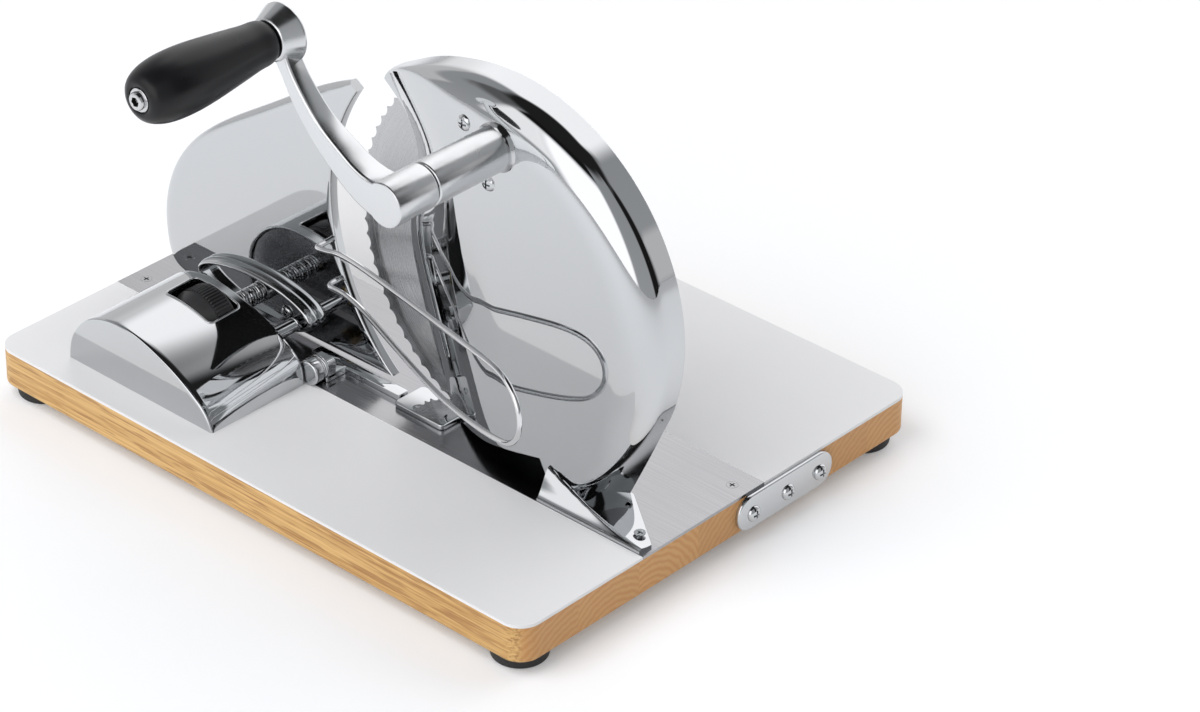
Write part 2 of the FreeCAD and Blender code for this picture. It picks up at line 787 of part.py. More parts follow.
def build_blade():
    radius = size("blade_radius")
    thickness = size("blade_thickness")
    bevel = size("bevel_width")
    tooth = size("tooth_depth")
    teeth = int(size("blade_teeth"))
    bore = size("axle_radius") + size("running_gap")
    body = turned("Disc", [(bore, -thickness), (radius - bevel, -thickness), (radius, -0.3),
                           (radius, 0), (bore, 0)],
                  "blade_x", "blade_y", "blade_z", kept=False)
    scallop = 4.6
    notch = body_sketch(body, "XZ_Plane")
    circle(notch, radius + scallop - tooth, 0, scallop)
    before = body.Shape.Volume
    cutter = body.newObject("PartDesign::Pocket", "Scallop")
    cutter.Profile = notch
    cutter.Midplane = True
    cutter.Length = 6 * thickness
    doc.recompute()
    if body.Shape.Volume > before - 0.01:
        raise RuntimeError("scallop cuts nothing")
    pattern = body.newObject("PartDesign::PolarPattern", "Scallops")
    pattern.Originals = [cutter]
    pattern.Axis = (notch, ["N_Axis"])
    pattern.Angle = 360
    pattern.Occurrences = teeth
    body.Tip = pattern
    doc.recompute()
    holes = []
    rivets = []
    for degrees in (45, 135, 225, 315):
        x, z = polar(12.6, degrees)
        x += size("blade_x")
        z += size("blade_z")
        holes.append(rod("1.4", "4", x, "blade_y - 3", z))
        rivets.append((x, size("blade_y") - thickness, z, TO_Y))
    keep(cut(body, *holes), "blade")
    rivet = turned("Rivet", [(0, 0), (1.4, 0), (1.4, thickness), (2.4, thickness),
                             [(2.4, thickness), (1.8, thickness + 0.6), (0, thickness + 0.9)]],
                   0, 0, 0, upright=True, kept=False)
    group("blade_rivets", rivet, rivets)


# ---------------------------------------------------------------- crank and grip

def build_crank():
    """The arm is one casting: a hub on the shaft, an S-shaped bar and a boss for the grip."""
    front = size("arm_front")
    hub_x = size("crank_x")
    hub_z = size("crank_z")
    boss = (size("boss_x") - hub_x, size("boss_z") - hub_z)
    end = size("nose_radius")
    upper = [(0, end), (-6, 9.3), (-16.7, 11.4), (-27.4, 17.4), (-38.0, 24.6), (-48.3, 35.4),
             (-57.0, 49.0), (boss[0] + 6.5, boss[1] + 3)]
    lower = [(boss[0] - 6.5, boss[1] - 2), (-64.8, 45.3), (-56.4, 31.6), (-45.0, 17.0),
             (-30.5, 3.8), (-16, -5.5), (0, -end)]
    edges = [curve(upper), line(upper[-1], lower[0]), curve(lower), arc(lower[-1], (end, 0), upper[0])]
    bar = extrude(front_sketch(edges, "crank_x", "arm_front + arm_depth", "crank_z"), "arm_depth")
    bar = rounded(bar, 1.2, at_y(front))
    back = front + size("arm_depth")
    bar = cut(bar, prism([(58, back), (-30, back - 8), (-30, back + 9), (58, back + 9)], 178, 262))
    hub = rod("nose_radius", "hub_length - 0.4", "crank_x", "arm_front + 0.1", "crank_z")
    boss_body = turned("Boss", [(0, 0), (9.4, 0), (10, 0.6), (14.2, 9.6),
                                [(14.2, 9.6), (13.6, 10.6), (12, 11.0)], (0, 11.2)],
                       "boss_x", "arm_front - 1.9", "boss_z", kept=False)
    arm = fuse(bar, hub, boss_body)
    shaft_hole = rod("shaft_radius + 0.01", "hub_length", "crank_x", "arm_front + 4", "crank_z")
    bolt_hole = rod("3", "8.5", "boss_x", "arm_front - 3", "boss_z")
    keep(cut(arm, shaft_hole, bolt_hole), "crank_arm")

    shaft_length = "blade_y + gear_front + gear_width - arm_front - 4 + 0.6"
    keep(rod("shaft_radius", shaft_length, "crank_x", "arm_front + 4", "crank_z"), "crank_shaft")

    length = size("grip_length")
    near = front - 2.3
    bolt = turned("grip_bolt", [(0, 0), (1.9, 0), (1.9, -2.2), [(3.4, -2.2), (3.9, -1.9), (4.1, -1)],
                                (4.1, 0), (5.4, 0), (5.4, 0.9), (3, 0.9), (3, length + 7),
                                (0, length + 7)],
                  "boss_x", near - length, "boss_z")
    bore = size("grip_bore")
    grip = turned("grip", [(bore, 1.2), (6.0, 1.2), (6.0, 0),
                           [(7.6, 0), (9.6, 0.9), (12.2, 4.6), (14.0, 11.0), (14.7, 19.0),
                            (14.6, 27.0), (13.8, 37.0), (12.5, 48.0), (11.2, 58.0), (10.4, 65.0),
                            (10.0, 70.0), (9.4, length - 1.4), (8.2, length)],
                           (bore, length)],
                  "boss_x", near - length, "boss_z")
    return bolt, grip


# ---------------------------------------------------------------- gauge plate

CUP_FRONT = "gauge_front - cup_depth"


def ellipse(half_width, half_height, x, y, z):
    """A flat oval seen from the front."""
    sketch = front_sketch([Part.Ellipse(Vector(), half_width, half_height)], x, y, z)
    return sketch


def gauge_outline():
    """The plate seen from the front: a round back and top, and a hollow edge round the blade."""
    bottom = DECK + 1.6
    back = [(-151.0, bottom + 0.5), (-161.0, 32.0), (-166.0, 45.0), (-166.2, 61.0), (-156.4, 89.4),
            (-131.2, 116.8), (-95.0, 141.8), (-48.0, 171.4), (-36.8, 177.0)]
    tip = (-31.6, 173.6)
    toe = (-10.7, 31.2)
    heel = (-59.0, 31.2)
    return [curve(back), line(back[-1], tip), arc(tip, (-49.6, 104.0), toe), line(toe, heel),
            line(heel, (-61.5, bottom)), line((-61.5, bottom), back[0])]


def build_gauge():
    blank = extrude(front_sketch(gauge_outline(), "0", "gauge_front + gauge_thickness", "0"),
                    "gauge_thickness")
    face = size("gauge_front")
    blank = rounded(blank, 3.6, lambda edge: at_y(face)(edge) and edge.BoundBox.XMin < -140)
    holes = [rod("guide_radius", "8", "guide_x", "gauge_front - 1", "guide_z"),
             rod("spindle_radius", "4", "spindle_x", "gauge_front - 1", "spindle_z")]
    for x, z in WIRE_ENDS:
        holes.append(rod("wire_radius + 0.15", "4", x, "gauge_front - 1", z))
    holes.append(rod("1.5", "4", STUD[0], "gauge_front - 1", STUD[1]))
    keep(cut(blank, *holes), "gauge_plate")

    centre = ("cup_x", "cup_z")
    half = size("cup_half_width")
    high = size("cup_half_height")
    wall = size("cup_wall")
    rings = []
    for inset, start, length in ((1.0, 0.0, 1.6), (0.0, 1.6, 4.4)):
        rear = "gauge_front - cup_depth + %g" % (start + length)
        rings.append(extrude(ellipse(half - inset, high - inset, centre[0], rear, centre[1]),
                             "%g" % length))
    hollow = extrude(ellipse(half - wall, high - wall, centre[0], "gauge_front + 1",
                             centre[1]), "cup_depth + 2")
    keep(cut(fuse(*rings), hollow), "gauge_cup")

    keep(rod("spindle_radius", "60 + 3", "spindle_x", "gauge_front - 60", "spindle_z"),
         "gauge_spindle")
    keep(cut(rod("5.2", "5.7", "spindle_x", "gauge_front - 5.7", "spindle_z"),
             rod("spindle_radius", "8", "spindle_x", "gauge_front - 7", "spindle_z")),
         "spindle_collar")
    keep(rod("guide_radius", "38 + 4.5", "guide_x", "gauge_front - 38", "guide_z"), "guide_rod")
    stud = pan_screw(3.6, 2.4, 1.5, 3)
    forward = Rotation(Vector(1, 0, 0), 90)
    group("plate_screw", stud, [(STUD[0], face, STUD[1], forward)])
    build_wire()


STUD = (-80.5, 37.0)
WIRE_ENDS = [(-54.5, 85.5), (-48.0, 67.5)]


def rounded_path(points, radii):
    """Straight runs through the points, joined by tangent arcs."""
    edges = []
    start = points[0]
    for before, corner, after, radius in zip(points, points[1:], points[2:], radii):
        inward = (before - corner).normalize()
        outward = (after - corner).normalize()
        half_turn = (math.pi - inward.getAngle(outward)) / 2
        reach = radius * math.tan(half_turn)
        centre_line = (inward + outward).normalize()
        rise = radius / math.cos(half_turn) - radius
        first = corner + inward * reach
        last = corner + outward * reach
        edges.append(Part.LineSegment(start, first).toShape())
        edges.append(Part.Arc(first, corner + centre_line * rise, last).toShape())
        start = last
    edges.append(Part.LineSegment(start, points[-1]).toShape())
    return Part.Wire(edges)


def build_wire():
    """The slice holder: one bent wire, both ends fixed in the gauge plate."""
    face = size("gauge_front")
    upper, lower = WIRE_ENDS
    slope = 0.25

    def out(x, z):
        return Vector(x, -1.5 - slope * (x + 54), z)

    points = [Vector(upper[0], face + 2.9, upper[1]),
              Vector(upper[0] + 0.6, face - 5.5, upper[1] + 0.6),
              out(-30, 91), out(114, 100.4), out(114, 61.6), out(57, 57.2), out(-25, 73),
              Vector(lower[0] + 0.6, face - 5.0, lower[1] + 0.4), Vector(lower[0], face + 2.9, lower[1])]
    radii = [3.5, 60, 18, 18, 70, 40, 3.5]
    path = rounded_path(points, radii)
    start = (points[1] - points[0]).normalize()
    profile = Part.Wire(Part.makeCircle(size("wire_radius"), points[0], start))
    shell = Part.BRepOffsetAPI.MakePipeShell(path)
    shell.add(profile)
    shell.setTransitionMode(0)
    shell.build()
    shell.makeSolid()
    thing = doc.addObject("Part::Feature", "Wire")
    thing.Shape = shell.shape()
    keep(thing, "slice_holder")


# ---------------------------------------------------------------- adjuster

FRONT_ARCH = [(-138.0, 27.0), (-136.4, 36.5), (-130.6, 46.8), (-118.5, 56.0), (-103.5, 59.4),
              (-91.0, 58.4), (-77.0, 54.3), (-66.5, 49.9), (-57.5, 45.0), (-50.0, 39.9),
              (-44.2, 34.0), (-41.0, 27.0)]
REAR_ARCH = [(-138.0, 27.0), (-136.4, 36.8), (-130.4, 47.4), (-118.3, 56.6), (-103.3, 60.2),
             (-90.8, 59.4), (-77.0, 56.6), (-66.0, 53.0), (-56.0, 48.2), (-47.8, 43.4),
             (-42.0, 37.4), (-40.6, 27.0)]


def arch_outline(inset, y):
    """The housing's section at one depth: a low arch that rises a little towards the rear."""
    middle = (-92.0, 27.0)
    share = (y - size("housing_front")) / (size("housing_rear") - size("housing_front"))
    points = []
    for front, rear in zip(FRONT_ARCH, REAR_ARCH):
        x = front[0] + (rear[0] - front[0]) * share
        z = front[1] + (rear[1] - front[1]) * share
        away = Vector(x - middle[0], z - middle[1], 0)
        away = away * (1 - inset * 1.16 / away.Length)
        points.append((middle[0] + away.x, middle[1] + away.y))
    return [curve(points), line(points[-1], points[0])]


def arch_solid(inset, front, rear):
    """The space under the arch between two depths."""
    thing = doc.addObject("Part::Loft", "Arch")
    thing.Sections = [front_sketch(arch_outline(inset, y), "0", y, "0") for y in (front, rear)]
    thing.Solid = True
    thing.Ruled = True
    return thing


def build_adjuster():
    front = size("housing_front")
    rear = size("housing_rear")
    wall = size("housing_wall")
    outer = arch_solid(0.0, front, rear)
    outer = rounded(outer, 1.2, lambda edge: at_y(front)(edge) and edge.BoundBox.ZLength > 5)
    inner = arch_solid(wall, front + wall, rear + 1)
    window = block("30.6", "19.5", "40", "-107.2", "-51.5", "deck + 16")
    keep(cut(outer, fuse(inner, window)), "adjuster_housing")

    depth = size("bracket_thickness")
    front_plate = arch_solid(wall + 0.1, -52.6 - depth, -52.6)
    keep(cut(front_plate, rod("spindle_radius + 0.3", "40", "spindle_x", "-65", "spindle_z")),
         "front_bracket")
    rear_plate = arch_solid(wall + 0.1, rear - 0.9 - depth, rear - 0.9)
    keep(cut(rear_plate, rod("spindle_radius + 0.3", "40", "spindle_x", "-65", "spindle_z"),
             rod("4.7", "40", "guide_x", "-65", "guide_z")), "rear_bracket")
    keep(cut(rod("4.7", "8", "guide_x", "housing_rear - 6.4", "guide_z"),
             rod("guide_radius + running_gap", "14", "guide_x", "-38", "guide_z")), "guide_bush")

    width = size("wheel_width")
    radius = size("wheel_radius")
    bore = size("spindle_radius") + size("running_gap")
    turned("thumb_wheel", [(bore, 0), (8, 0), (8, 1.4), (radius - 5, 1.4), (radius - 4.4, 2.0),
                           (radius - 0.5, 7.6), (radius, 8.4), (radius, width - 1.9),
                           (radius - 1.2, width - 0.7), (8, width - 0.7), (8, width), (bore, width)],
           "spindle_x", "wheel_front", "spindle_z")

    rail = block("58", "6", "3.6", "-56", "-7", "deck")
    arm = block("11", "12", "3.6", "-44.5", "-18", "deck")
    ear = block("11", "5.4", "11", "-44.5", "-18", "deck")
    keep(cut(fuse(rail, arm, ear), rod("2", "7", "-38.8", "-19", "deck + 6.6")), "guide_rail")
    turned("rail_bolt", [(0, 0), (5.8, 0), (6.3, 0.5), (6.3, 5.2), (5.4, 5.5), (5.4, 6.6),
                         (6.3, 7.0), (6.3, 8.3), (2, 8.3), (2, 13.5), (0, 13.5)],
           "-38.8", "-26.4", "deck + 6.6")
    build_spring()


def build_spring():
    """The spring round the spindle, which takes up the play of the thumb wheel."""
    radius = 4.5
    wire = 0.55
    first = size("housing_rear") - 0.9 + wire
    last = size("gauge_front") - 5.7 - wire
    turns = 8.0
    helix = Part.makeHelix((last - first) / turns, last - first, radius)
    corners = []
    for number in range(11):
        across, along = polar(wire, 36 * number)
        corners.append(Vector(radius + across, 0, along))
    profile = Part.makePolygon(corners)
    shape = Part.Wire(helix.Edges).makePipeShell([profile], True, True)
    thing = doc.addObject("Part::Feature", "Spring")
    thing.Shape = shape
    place(thing, "spindle_x", first, "spindle_z", TO_Y)
    keep(thing, "gauge_spring")


build_board()
build_guard()
build_gear_train()
build_blade()
build_crank()
build_gauge()
build_adjuster()

# ---------------------------------------------------------------- check and write

doc.recompute()
for thing in doc.Objects:
    if "Invalid" in thing.State or "Error" in thing.State:
        raise RuntimeError("failed: %s %s %s" % (thing.Name, thing.Label, thing.State))
os.makedirs("parts", exist_ok=True)
for thing in sub_parts:
    shape = thing.Shape
    if shape.isNull() or not shape.isValid() or not shape.Solids:
        raise RuntimeError("bad shape: " + thing.Label)
    shape.exportStep(os.path.join("parts", thing.Label + ".step"))
    box = shape.BoundBox
    print("%-18s solids %d volume %9.1f  x %7.1f %7.1f  y %7.1f %7.1f  z %6.1f %6.1f" % (
        thing.Label, len(shape.Solids), shape.Volume, box.XMin, box.XMax, box.YMin, box.YMax,
        box.ZMin, box.ZMax))
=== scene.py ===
import json
import math

import bmesh
import bpy
import numpy as np
from mathutils import Matrix, Vector


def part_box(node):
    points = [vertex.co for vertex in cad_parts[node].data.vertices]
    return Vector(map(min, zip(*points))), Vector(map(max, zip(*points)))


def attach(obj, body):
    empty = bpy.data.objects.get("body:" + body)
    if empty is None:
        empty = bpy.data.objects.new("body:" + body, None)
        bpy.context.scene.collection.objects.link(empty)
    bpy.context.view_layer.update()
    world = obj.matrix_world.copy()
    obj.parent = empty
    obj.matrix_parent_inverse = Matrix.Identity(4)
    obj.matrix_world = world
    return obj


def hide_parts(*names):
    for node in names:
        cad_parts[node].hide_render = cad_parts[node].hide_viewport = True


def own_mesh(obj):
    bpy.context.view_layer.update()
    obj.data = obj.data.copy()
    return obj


# Looks of a hand-cranked bread slicer: polished guard, gauge and crank on a laminated wooden board.
# Metres, +Z up, +X along the board's long edge, +Y from the crank handle to the loaf.

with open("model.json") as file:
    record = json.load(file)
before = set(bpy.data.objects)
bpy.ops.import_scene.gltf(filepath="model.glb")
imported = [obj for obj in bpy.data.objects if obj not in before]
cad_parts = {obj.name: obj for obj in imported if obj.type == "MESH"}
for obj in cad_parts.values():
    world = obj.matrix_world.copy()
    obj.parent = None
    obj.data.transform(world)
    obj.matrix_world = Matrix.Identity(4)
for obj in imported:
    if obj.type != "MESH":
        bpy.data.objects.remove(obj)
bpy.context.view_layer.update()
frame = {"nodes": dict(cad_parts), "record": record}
NODES = frame["nodes"]
MM = 0.001


# ---------------------------------------------------------------- camera

CAMERA_AIM = Vector((0.0423, 0.0864, 0.027))
CAMERA_AZIMUTH = math.radians(41.78)
CAMERA_ELEVATION = math.radians(31.99)
CAMERA_ROLL = math.radians(0.96)
CAMERA_DISTANCE = 2.079
CAMERA_LENS = 132.555


def make_camera():
    """The camera, from its aim, angles, distance and lens."""
    data = bpy.data.cameras.new("camera")
    data.sensor_width = 36
    data.lens = CAMERA_LENS
    data.clip_start = 0.05
    data.clip_end = 50
    camera = bpy.data.objects.new("camera", data)
    bpy.context.scene.collection.objects.link(camera)
    sin_a, cos_a = math.sin(CAMERA_AZIMUTH), math.cos(CAMERA_AZIMUTH)
    sin_e, cos_e = math.sin(CAMERA_ELEVATION), math.cos(CAMERA_ELEVATION)
    back = Vector((sin_a * cos_e, -cos_a * cos_e, sin_e))
    right = Vector((cos_a, sin_a, 0))
    up = back.cross(right)
    rolled_right = right * math.cos(CAMERA_ROLL) + up * math.sin(CAMERA_ROLL)
    rolled_up = up * math.cos(CAMERA_ROLL) - right * math.sin(CAMERA_ROLL)
    turn = Matrix((rolled_right, rolled_up, back)).transposed()
    camera.matrix_world = Matrix.Translation(CAMERA_AIM + back * CAMERA_DISTANCE) @ turn.to_4x4()
    bpy.context.scene.camera = camera


# ---------------------------------------------------------------- material building

def add_node(tree, kind, inputs, settings):
    """A new node in a tree; an input is a value or another node's output."""
    made = tree.nodes.new(kind)
    for name, value in settings.items():
        setattr(made, name, value)
    for name, value in dict(inputs).items():
        if isinstance(value, bpy.types.NodeSocket):
            tree.links.new(value, made.inputs[name])
        else:
            made.inputs[name].default_value = value
    return made


class Finish:
    """A procedural material, with short calls for the nodes that the finishes share."""

    def __init__(self, name, colour=(0.8, 0.8, 0.8), **values):
        self.material = bpy.data.materials.new(name)
        self.material.use_nodes = True
        self.tree = self.material.node_tree
        self.shader = self.tree.nodes["Principled BSDF"]
        self.set(Base_Color=(*colour, 1.0), **values)
        self.place = self.tree.nodes.new("ShaderNodeTexCoord").outputs["Object"]

    def set(self, **values):
        for name, value in values.items():
            self.shader.inputs[name.replace("_", " ")].default_value = value

    def feed(self, socket, source):
        self.tree.links.new(source, self.shader.inputs[socket])

    def node(self, kind, inputs=(), **settings):
        return add_node(self.tree, kind, inputs, settings)

    def stretched(self, scale, shift=(0, 0, 0)):
        """Object coordinates, scaled along each axis and shifted."""
        return self.node("ShaderNodeMapping", {"Vector": self.place, "Scale": scale,
                                               "Location": shift}).outputs[0]

    def noise(self, where, scale, detail=4.0, roughness=0.5, distortion=0.0):
        return self.node("ShaderNodeTexNoise", {"Vector": where, "Scale": scale, "Detail": detail,
                                                "Roughness": roughness,
                                                "Distortion": distortion}).outputs["Fac"]

    def math(self, operation, a, b=0.0, c=0.0):
        return self.node("ShaderNodeMath", {0: a, 1: b, 2: c}, operation=operation).outputs[0]

    def spread(self, value, low, high, to_low, to_high):
        """Map a value from one range to another, held at the ends."""
        return self.node("ShaderNodeMapRange",
                         {"Value": value, "From Min": low, "From Max": high,
                          "To Min": to_low, "To Max": to_high}).outputs[0]

    def blend(self, factor, a, b, way="MIX"):
        mix = self.node("ShaderNodeMix", data_type="RGBA", blend_type=way)
        for index, value in ((0, factor), (6, a), (7, b)):
            if isinstance(value, bpy.types.NodeSocket):
                self.tree.links.new(value, mix.inputs[index])
            elif index:
                mix.inputs[index].default_value = (*value, 1.0)
            else:
                mix.inputs[index].default_value = value
        return mix.outputs[2]

    def rough(self, noise, smoothest, roughest, low=0.3, high=0.7):
        """Let a noise drive the roughness."""
        self.feed("Roughness", self.spread(noise, low, high, smoothest, roughest))

    def bump(self, height, strength, distance):
        """Let a noise drive a fine relief."""
        self.feed("Normal", self.node("ShaderNodeBump", {"Height": height, "Strength": strength,
                                                         "Distance": distance}).outputs[0])


def chrome_finish(name, colour, rough):
    """Mirror polish with faint buffing haze."""
    finish = Finish(name, colour, Metallic=1.0)
    haze = finish.noise(finish.place, 38.0, 5.0, 0.6)
    fine = finish.noise(finish.place, 900.0, 2.0)
    finish.rough(haze, rough * 0.7, rough * 1.4, 0.35, 0.75)
    finish.bump(fine, 0.01, 0.0001)
    return finish.material


def brushed_finish(name, colour, along, rough, depth=0.05, scale=1.0):
    """Ground steel: long fine scratches along one axis."""
    finish = Finish(name, colour, Metallic=1.0)
    stretch = [1400.0 * scale] * 3
    stretch[along] = 14.0 * scale
    scratches = finish.noise(finish.stretched(stretch), 1.0, 3.0, 0.6)
    clouds = finish.noise(finish.place, 25.0, 3.0)
    base = finish.spread(scratches, 0.3, 0.7, rough * 0.75, rough * 1.3)
    cloudy = finish.spread(clouds, 0.3, 0.7, -rough * 0.15, rough * 0.15)
    finish.feed("Roughness", finish.math("ADD", base, cloudy))
    tint = finish.spread(scratches, 0.3, 0.7, 0.9, 1.06)
    shade = finish.node("ShaderNodeCombineColor", {0: tint, 1: tint, 2: tint}).outputs[0]
    finish.feed("Base Color", finish.blend(1.0, colour, shade, "MULTIPLY"))
    finish.bump(scratches, depth, 0.00005)
    return finish.material


def ring_brushed_finish(name, colour, rough):
    """Steel ground in circles about the blade's axis."""
    finish = Finish(name, colour, Metallic=1.0)
    moved = finish.stretched((1, 1, 1), shift=(-BLADE_CENTRE.x, 0, -BLADE_CENTRE.z))
    parts = finish.node("ShaderNodeSeparateXYZ", {0: moved})
    x, z = parts.outputs[0], parts.outputs[2]
    radius = finish.math("SQRT", finish.math("ADD", finish.math("MULTIPLY", x, x),
                                             finish.math("MULTIPLY", z, z)))
    angle = finish.math("ARCTAN2", z, x)
    polar = finish.node("ShaderNodeCombineXYZ",
                        {0: finish.math("MULTIPLY", radius, 1800.0),
                         1: finish.math("MULTIPLY", angle, 1.2), 2: 0.0}).outputs[0]
    rings = finish.noise(polar, 1.0, 3.0, 0.6)
    finish.rough(rings, rough * 0.7, rough * 1.35)
    finish.bump(rings, 0.08, 0.00005)
    return finish.material


WOOD_SIDE = (0.70, 0.44, 0.165)
WOOD_DARK = (0.47, 0.245, 0.07)
WOOD_END = (0.60, 0.29, 0.09)
STAVE_WIDTH = 39.5 * MM


def wood_finish():
    """Oiled wood glued from staves along X: fine streaks on the sides, arcs on the ends."""
    finish = Finish("oiled_wood", WOOD_SIDE, Roughness=0.42)
    parts = finish.node("ShaderNodeSeparateXYZ", {0: finish.place})
    across = finish.math("ADD", parts.outputs[1], 0.5)
    stave = finish.math("FLOOR", finish.math("DIVIDE", across, STAVE_WIDTH))
    streaks = finish.noise(finish.stretched((13.0, 820.0, 820.0)), 1.0, 5.0, 0.62, 0.3)
    pores = finish.noise(finish.stretched((45.0, 1000.0, 1000.0)), 1.0, 2.0, 0.5)
    broad = finish.noise(finish.stretched((3.0, 70.0, 70.0)), 1.0, 2.0)
    tone = finish.blend(finish.spread(streaks, 0.38, 0.60, 0.0, 1.0), WOOD_DARK, WOOD_SIDE)
    tone = finish.blend(finish.spread(broad, 0.3, 0.7, 0.0, 0.35), tone, (0.70, 0.47, 0.21))
    tone = finish.blend(finish.spread(pores, 0.53, 0.64, 0.0, 0.7), tone, (0.33, 0.15, 0.045))

    noise = finish.node("ShaderNodeTexWhiteNoise", {"W": stave},
                        noise_dimensions="1D").outputs["Value"]
    heart = (finish.math("SUBTRACT", finish.math("FLOORED_MODULO", across, STAVE_WIDTH),
                         finish.math("MULTIPLY", noise, 0.06)),
             finish.math("ADD", parts.outputs[2], finish.math("MULTIPLY", noise, 0.03)))
    ring_place = finish.node("ShaderNodeCombineXYZ", {0: 0.0, 1: heart[0], 2: heart[1]}).outputs[0]
    rings = finish.node("ShaderNodeTexWave", {"Vector": ring_place, "Scale": 95.0, "Distortion": 3.0,
                                              "Detail": 3.0, "Detail Scale": 2.0},
                        wave_type="RINGS", rings_direction="X").outputs["Fac"]
    fibres = finish.noise(finish.place, 2600.0, 2.0)
    end = finish.blend(finish.spread(rings, 0.1, 0.9, 0.0, 0.55), WOOD_END, (0.72, 0.43, 0.18))
    end = finish.blend(finish.spread(noise, 0.0, 1.0, 0.0, 0.25), end, (0.42, 0.20, 0.07))
    end = finish.blend(finish.spread(fibres, 0.55, 0.75, 0.0, 0.35), end, (0.34, 0.16, 0.05))
    normal = finish.node("ShaderNodeNewGeometry").outputs["Normal"]
    facing = finish.node("ShaderNodeSeparateXYZ", {0: normal})
    on_end = finish.spread(finish.math("ABSOLUTE", facing.outputs[0]), 0.6, 0.8, 0.0, 1.0)
    finish.feed("Base Color", finish.blend(on_end, tone, end))
    finish.rough(streaks, 0.5, 0.38)
    finish.bump(streaks, 0.15, 0.0002)
    return finish.material


def laminate_finish():
    """White laminate with a fine matt pebble."""
    finish = Finish("white_laminate", (0.80, 0.80, 0.81))
    pebble = finish.noise(finish.place, 1500.0, 2.0)
    clouds = finish.noise(finish.place, 9.0, 3.0)
    finish.feed("Base Color", finish.blend(finish.spread(clouds, 0.3, 0.7, 0.0, 1.0),
                                           (0.79, 0.79, 0.80), (0.82, 0.82, 0.83)))
    finish.rough(pebble, 0.34, 0.46)
    finish.bump(pebble, 0.05, 0.0001)
    return finish.material


def grip_finish(name, colour, rough, gloss):
    """Satin black moulding."""
    finish = Finish(name, colour, Specular_IOR_Level=gloss)
    grain = finish.noise(finish.place, 1800.0, 2.0)
    clouds = finish.noise(finish.place, 60.0, 3.0)
    finish.rough(clouds, rough * 0.9, rough * 1.15)
    finish.bump(grain, 0.06, 0.0001)
    return finish.material


def rubber_finish():
    """Matt black rubber."""
    finish = Finish("black_rubber", (0.018, 0.018, 0.018))
    grain = finish.noise(finish.place, 900.0, 3.0)
    finish.rough(grain, 0.6, 0.8)
    finish.bump(grain, 0.2, 0.0002)
    return finish.material


def node_centre(name):
    """The middle of a CAD node's box, in metres."""
    low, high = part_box(name)
    return (low + high) / 2


BLADE_CENTRE = node_centre("blade")

CHROME = chrome_finish("chrome", (0.58, 0.59, 0.60), 0.035)
INNER_SATIN = chrome_finish("satin_inside", (0.42, 0.42, 0.43), 0.45)
SATIN = chrome_finish("satin_chrome", (0.68, 0.69, 0.70), 0.22)
CUP_STEEL = chrome_finish("polished_cup", (0.56, 0.57, 0.58), 0.09)
WIRE_STEEL = chrome_finish("bright_wire", (0.74, 0.74, 0.75), 0.07)
STRIP_STEEL = brushed_finish("strip_steel", (0.38, 0.38, 0.39), 0, 0.20, 0.04)
MACHINED = brushed_finish("machined_steel", (0.50, 0.50, 0.51), 1, 0.22, 0.06)
BOLT_STEEL = brushed_finish("bolt_steel", (0.60, 0.60, 0.61), 1, 0.12, 0.03)
GROUND = ring_brushed_finish("ground_blade", (0.50, 0.50, 0.51), 0.26)
BRONZE = brushed_finish("turned_bronze", (0.66, 0.46, 0.22), 1, 0.3)
WOOD = wood_finish()
LAMINATE = laminate_finish()
GRIP = grip_finish("grip_black", (0.007, 0.007, 0.008), 0.30, 0.32)
WHEEL = grip_finish("wheel_black", (0.022, 0.022, 0.023), 0.34, 0.5)
# Near-black finish for the grip bolt's hex socket: painted shade inside the recess, far darker than
# the steel it is cut into.
SOCKET_PAINTED_SHADE = grip_finish("hollow_black", (0.006, 0.006, 0.006), 0.8, 0.2)
RUBBER = rubber_finish()

SLOT_FINISH = {
    "beech": WOOD, "laminate": LAMINATE, "stainless": STRIP_STEEL, "chrome": CHROME,
    "steel": MACHINED, "blade_steel": GROUND, "bronze": BRONZE, "black_grip": GRIP,
    "black_wheel": WHEEL, "rubber": RUBBER}


def dress_nodes():
    """Give each CAD node the finish of its material slot."""
    for part in frame["record"]["subparts"]:
        mesh = NODES[part["node"]].data
        mesh.materials.clear()
        mesh.materials.append(SLOT_FINISH[part["material_slot"]])


# ---------------------------------------------------------------- shaping helpers, in millimetres

def way_along(points):
    """How far each point lies along the line through all of them."""
    return np.concatenate([[0], np.cumsum(np.linalg.norm(np.diff(points, axis=0), axis=1))])


def full_turn(parts):
    """Angles round a circle."""
    return np.linspace(0, 2 * math.pi, parts, endpoint=False)


def smooth_line(points, count):
    """Evenly spaced points on a smooth curve through the given ones."""
    knots = np.array(points, float)
    along = way_along(knots)
    step = np.diff(along)
    size = len(along)
    system = np.eye(size)
    bend = np.zeros_like(knots)
    for n in range(1, size - 1):
        system[n, n - 1:n + 2] = step[n - 1], 2 * (step[n - 1] + step[n]), step[n]
        bend[n] = 6 * ((knots[n + 1] - knots[n]) / step[n] - (knots[n] - knots[n - 1]) / step[n - 1])
    bend = np.linalg.solve(system, bend)
    place = np.linspace(0, along[-1], count)
    n = np.clip(np.searchsorted(along, place, side="right") - 1, 0, size - 2)
    left = (place - along[n])[:, None]
    right = (along[n + 1] - place)[:, None]
    span = step[n][:, None]
    return (bend[n] * right ** 3 / (6 * span) + bend[n + 1] * left ** 3 / (6 * span)
            + (knots[n] / span - bend[n] * span / 6) * right
            + (knots[n + 1] / span - bend[n + 1] * span / 6) * left)


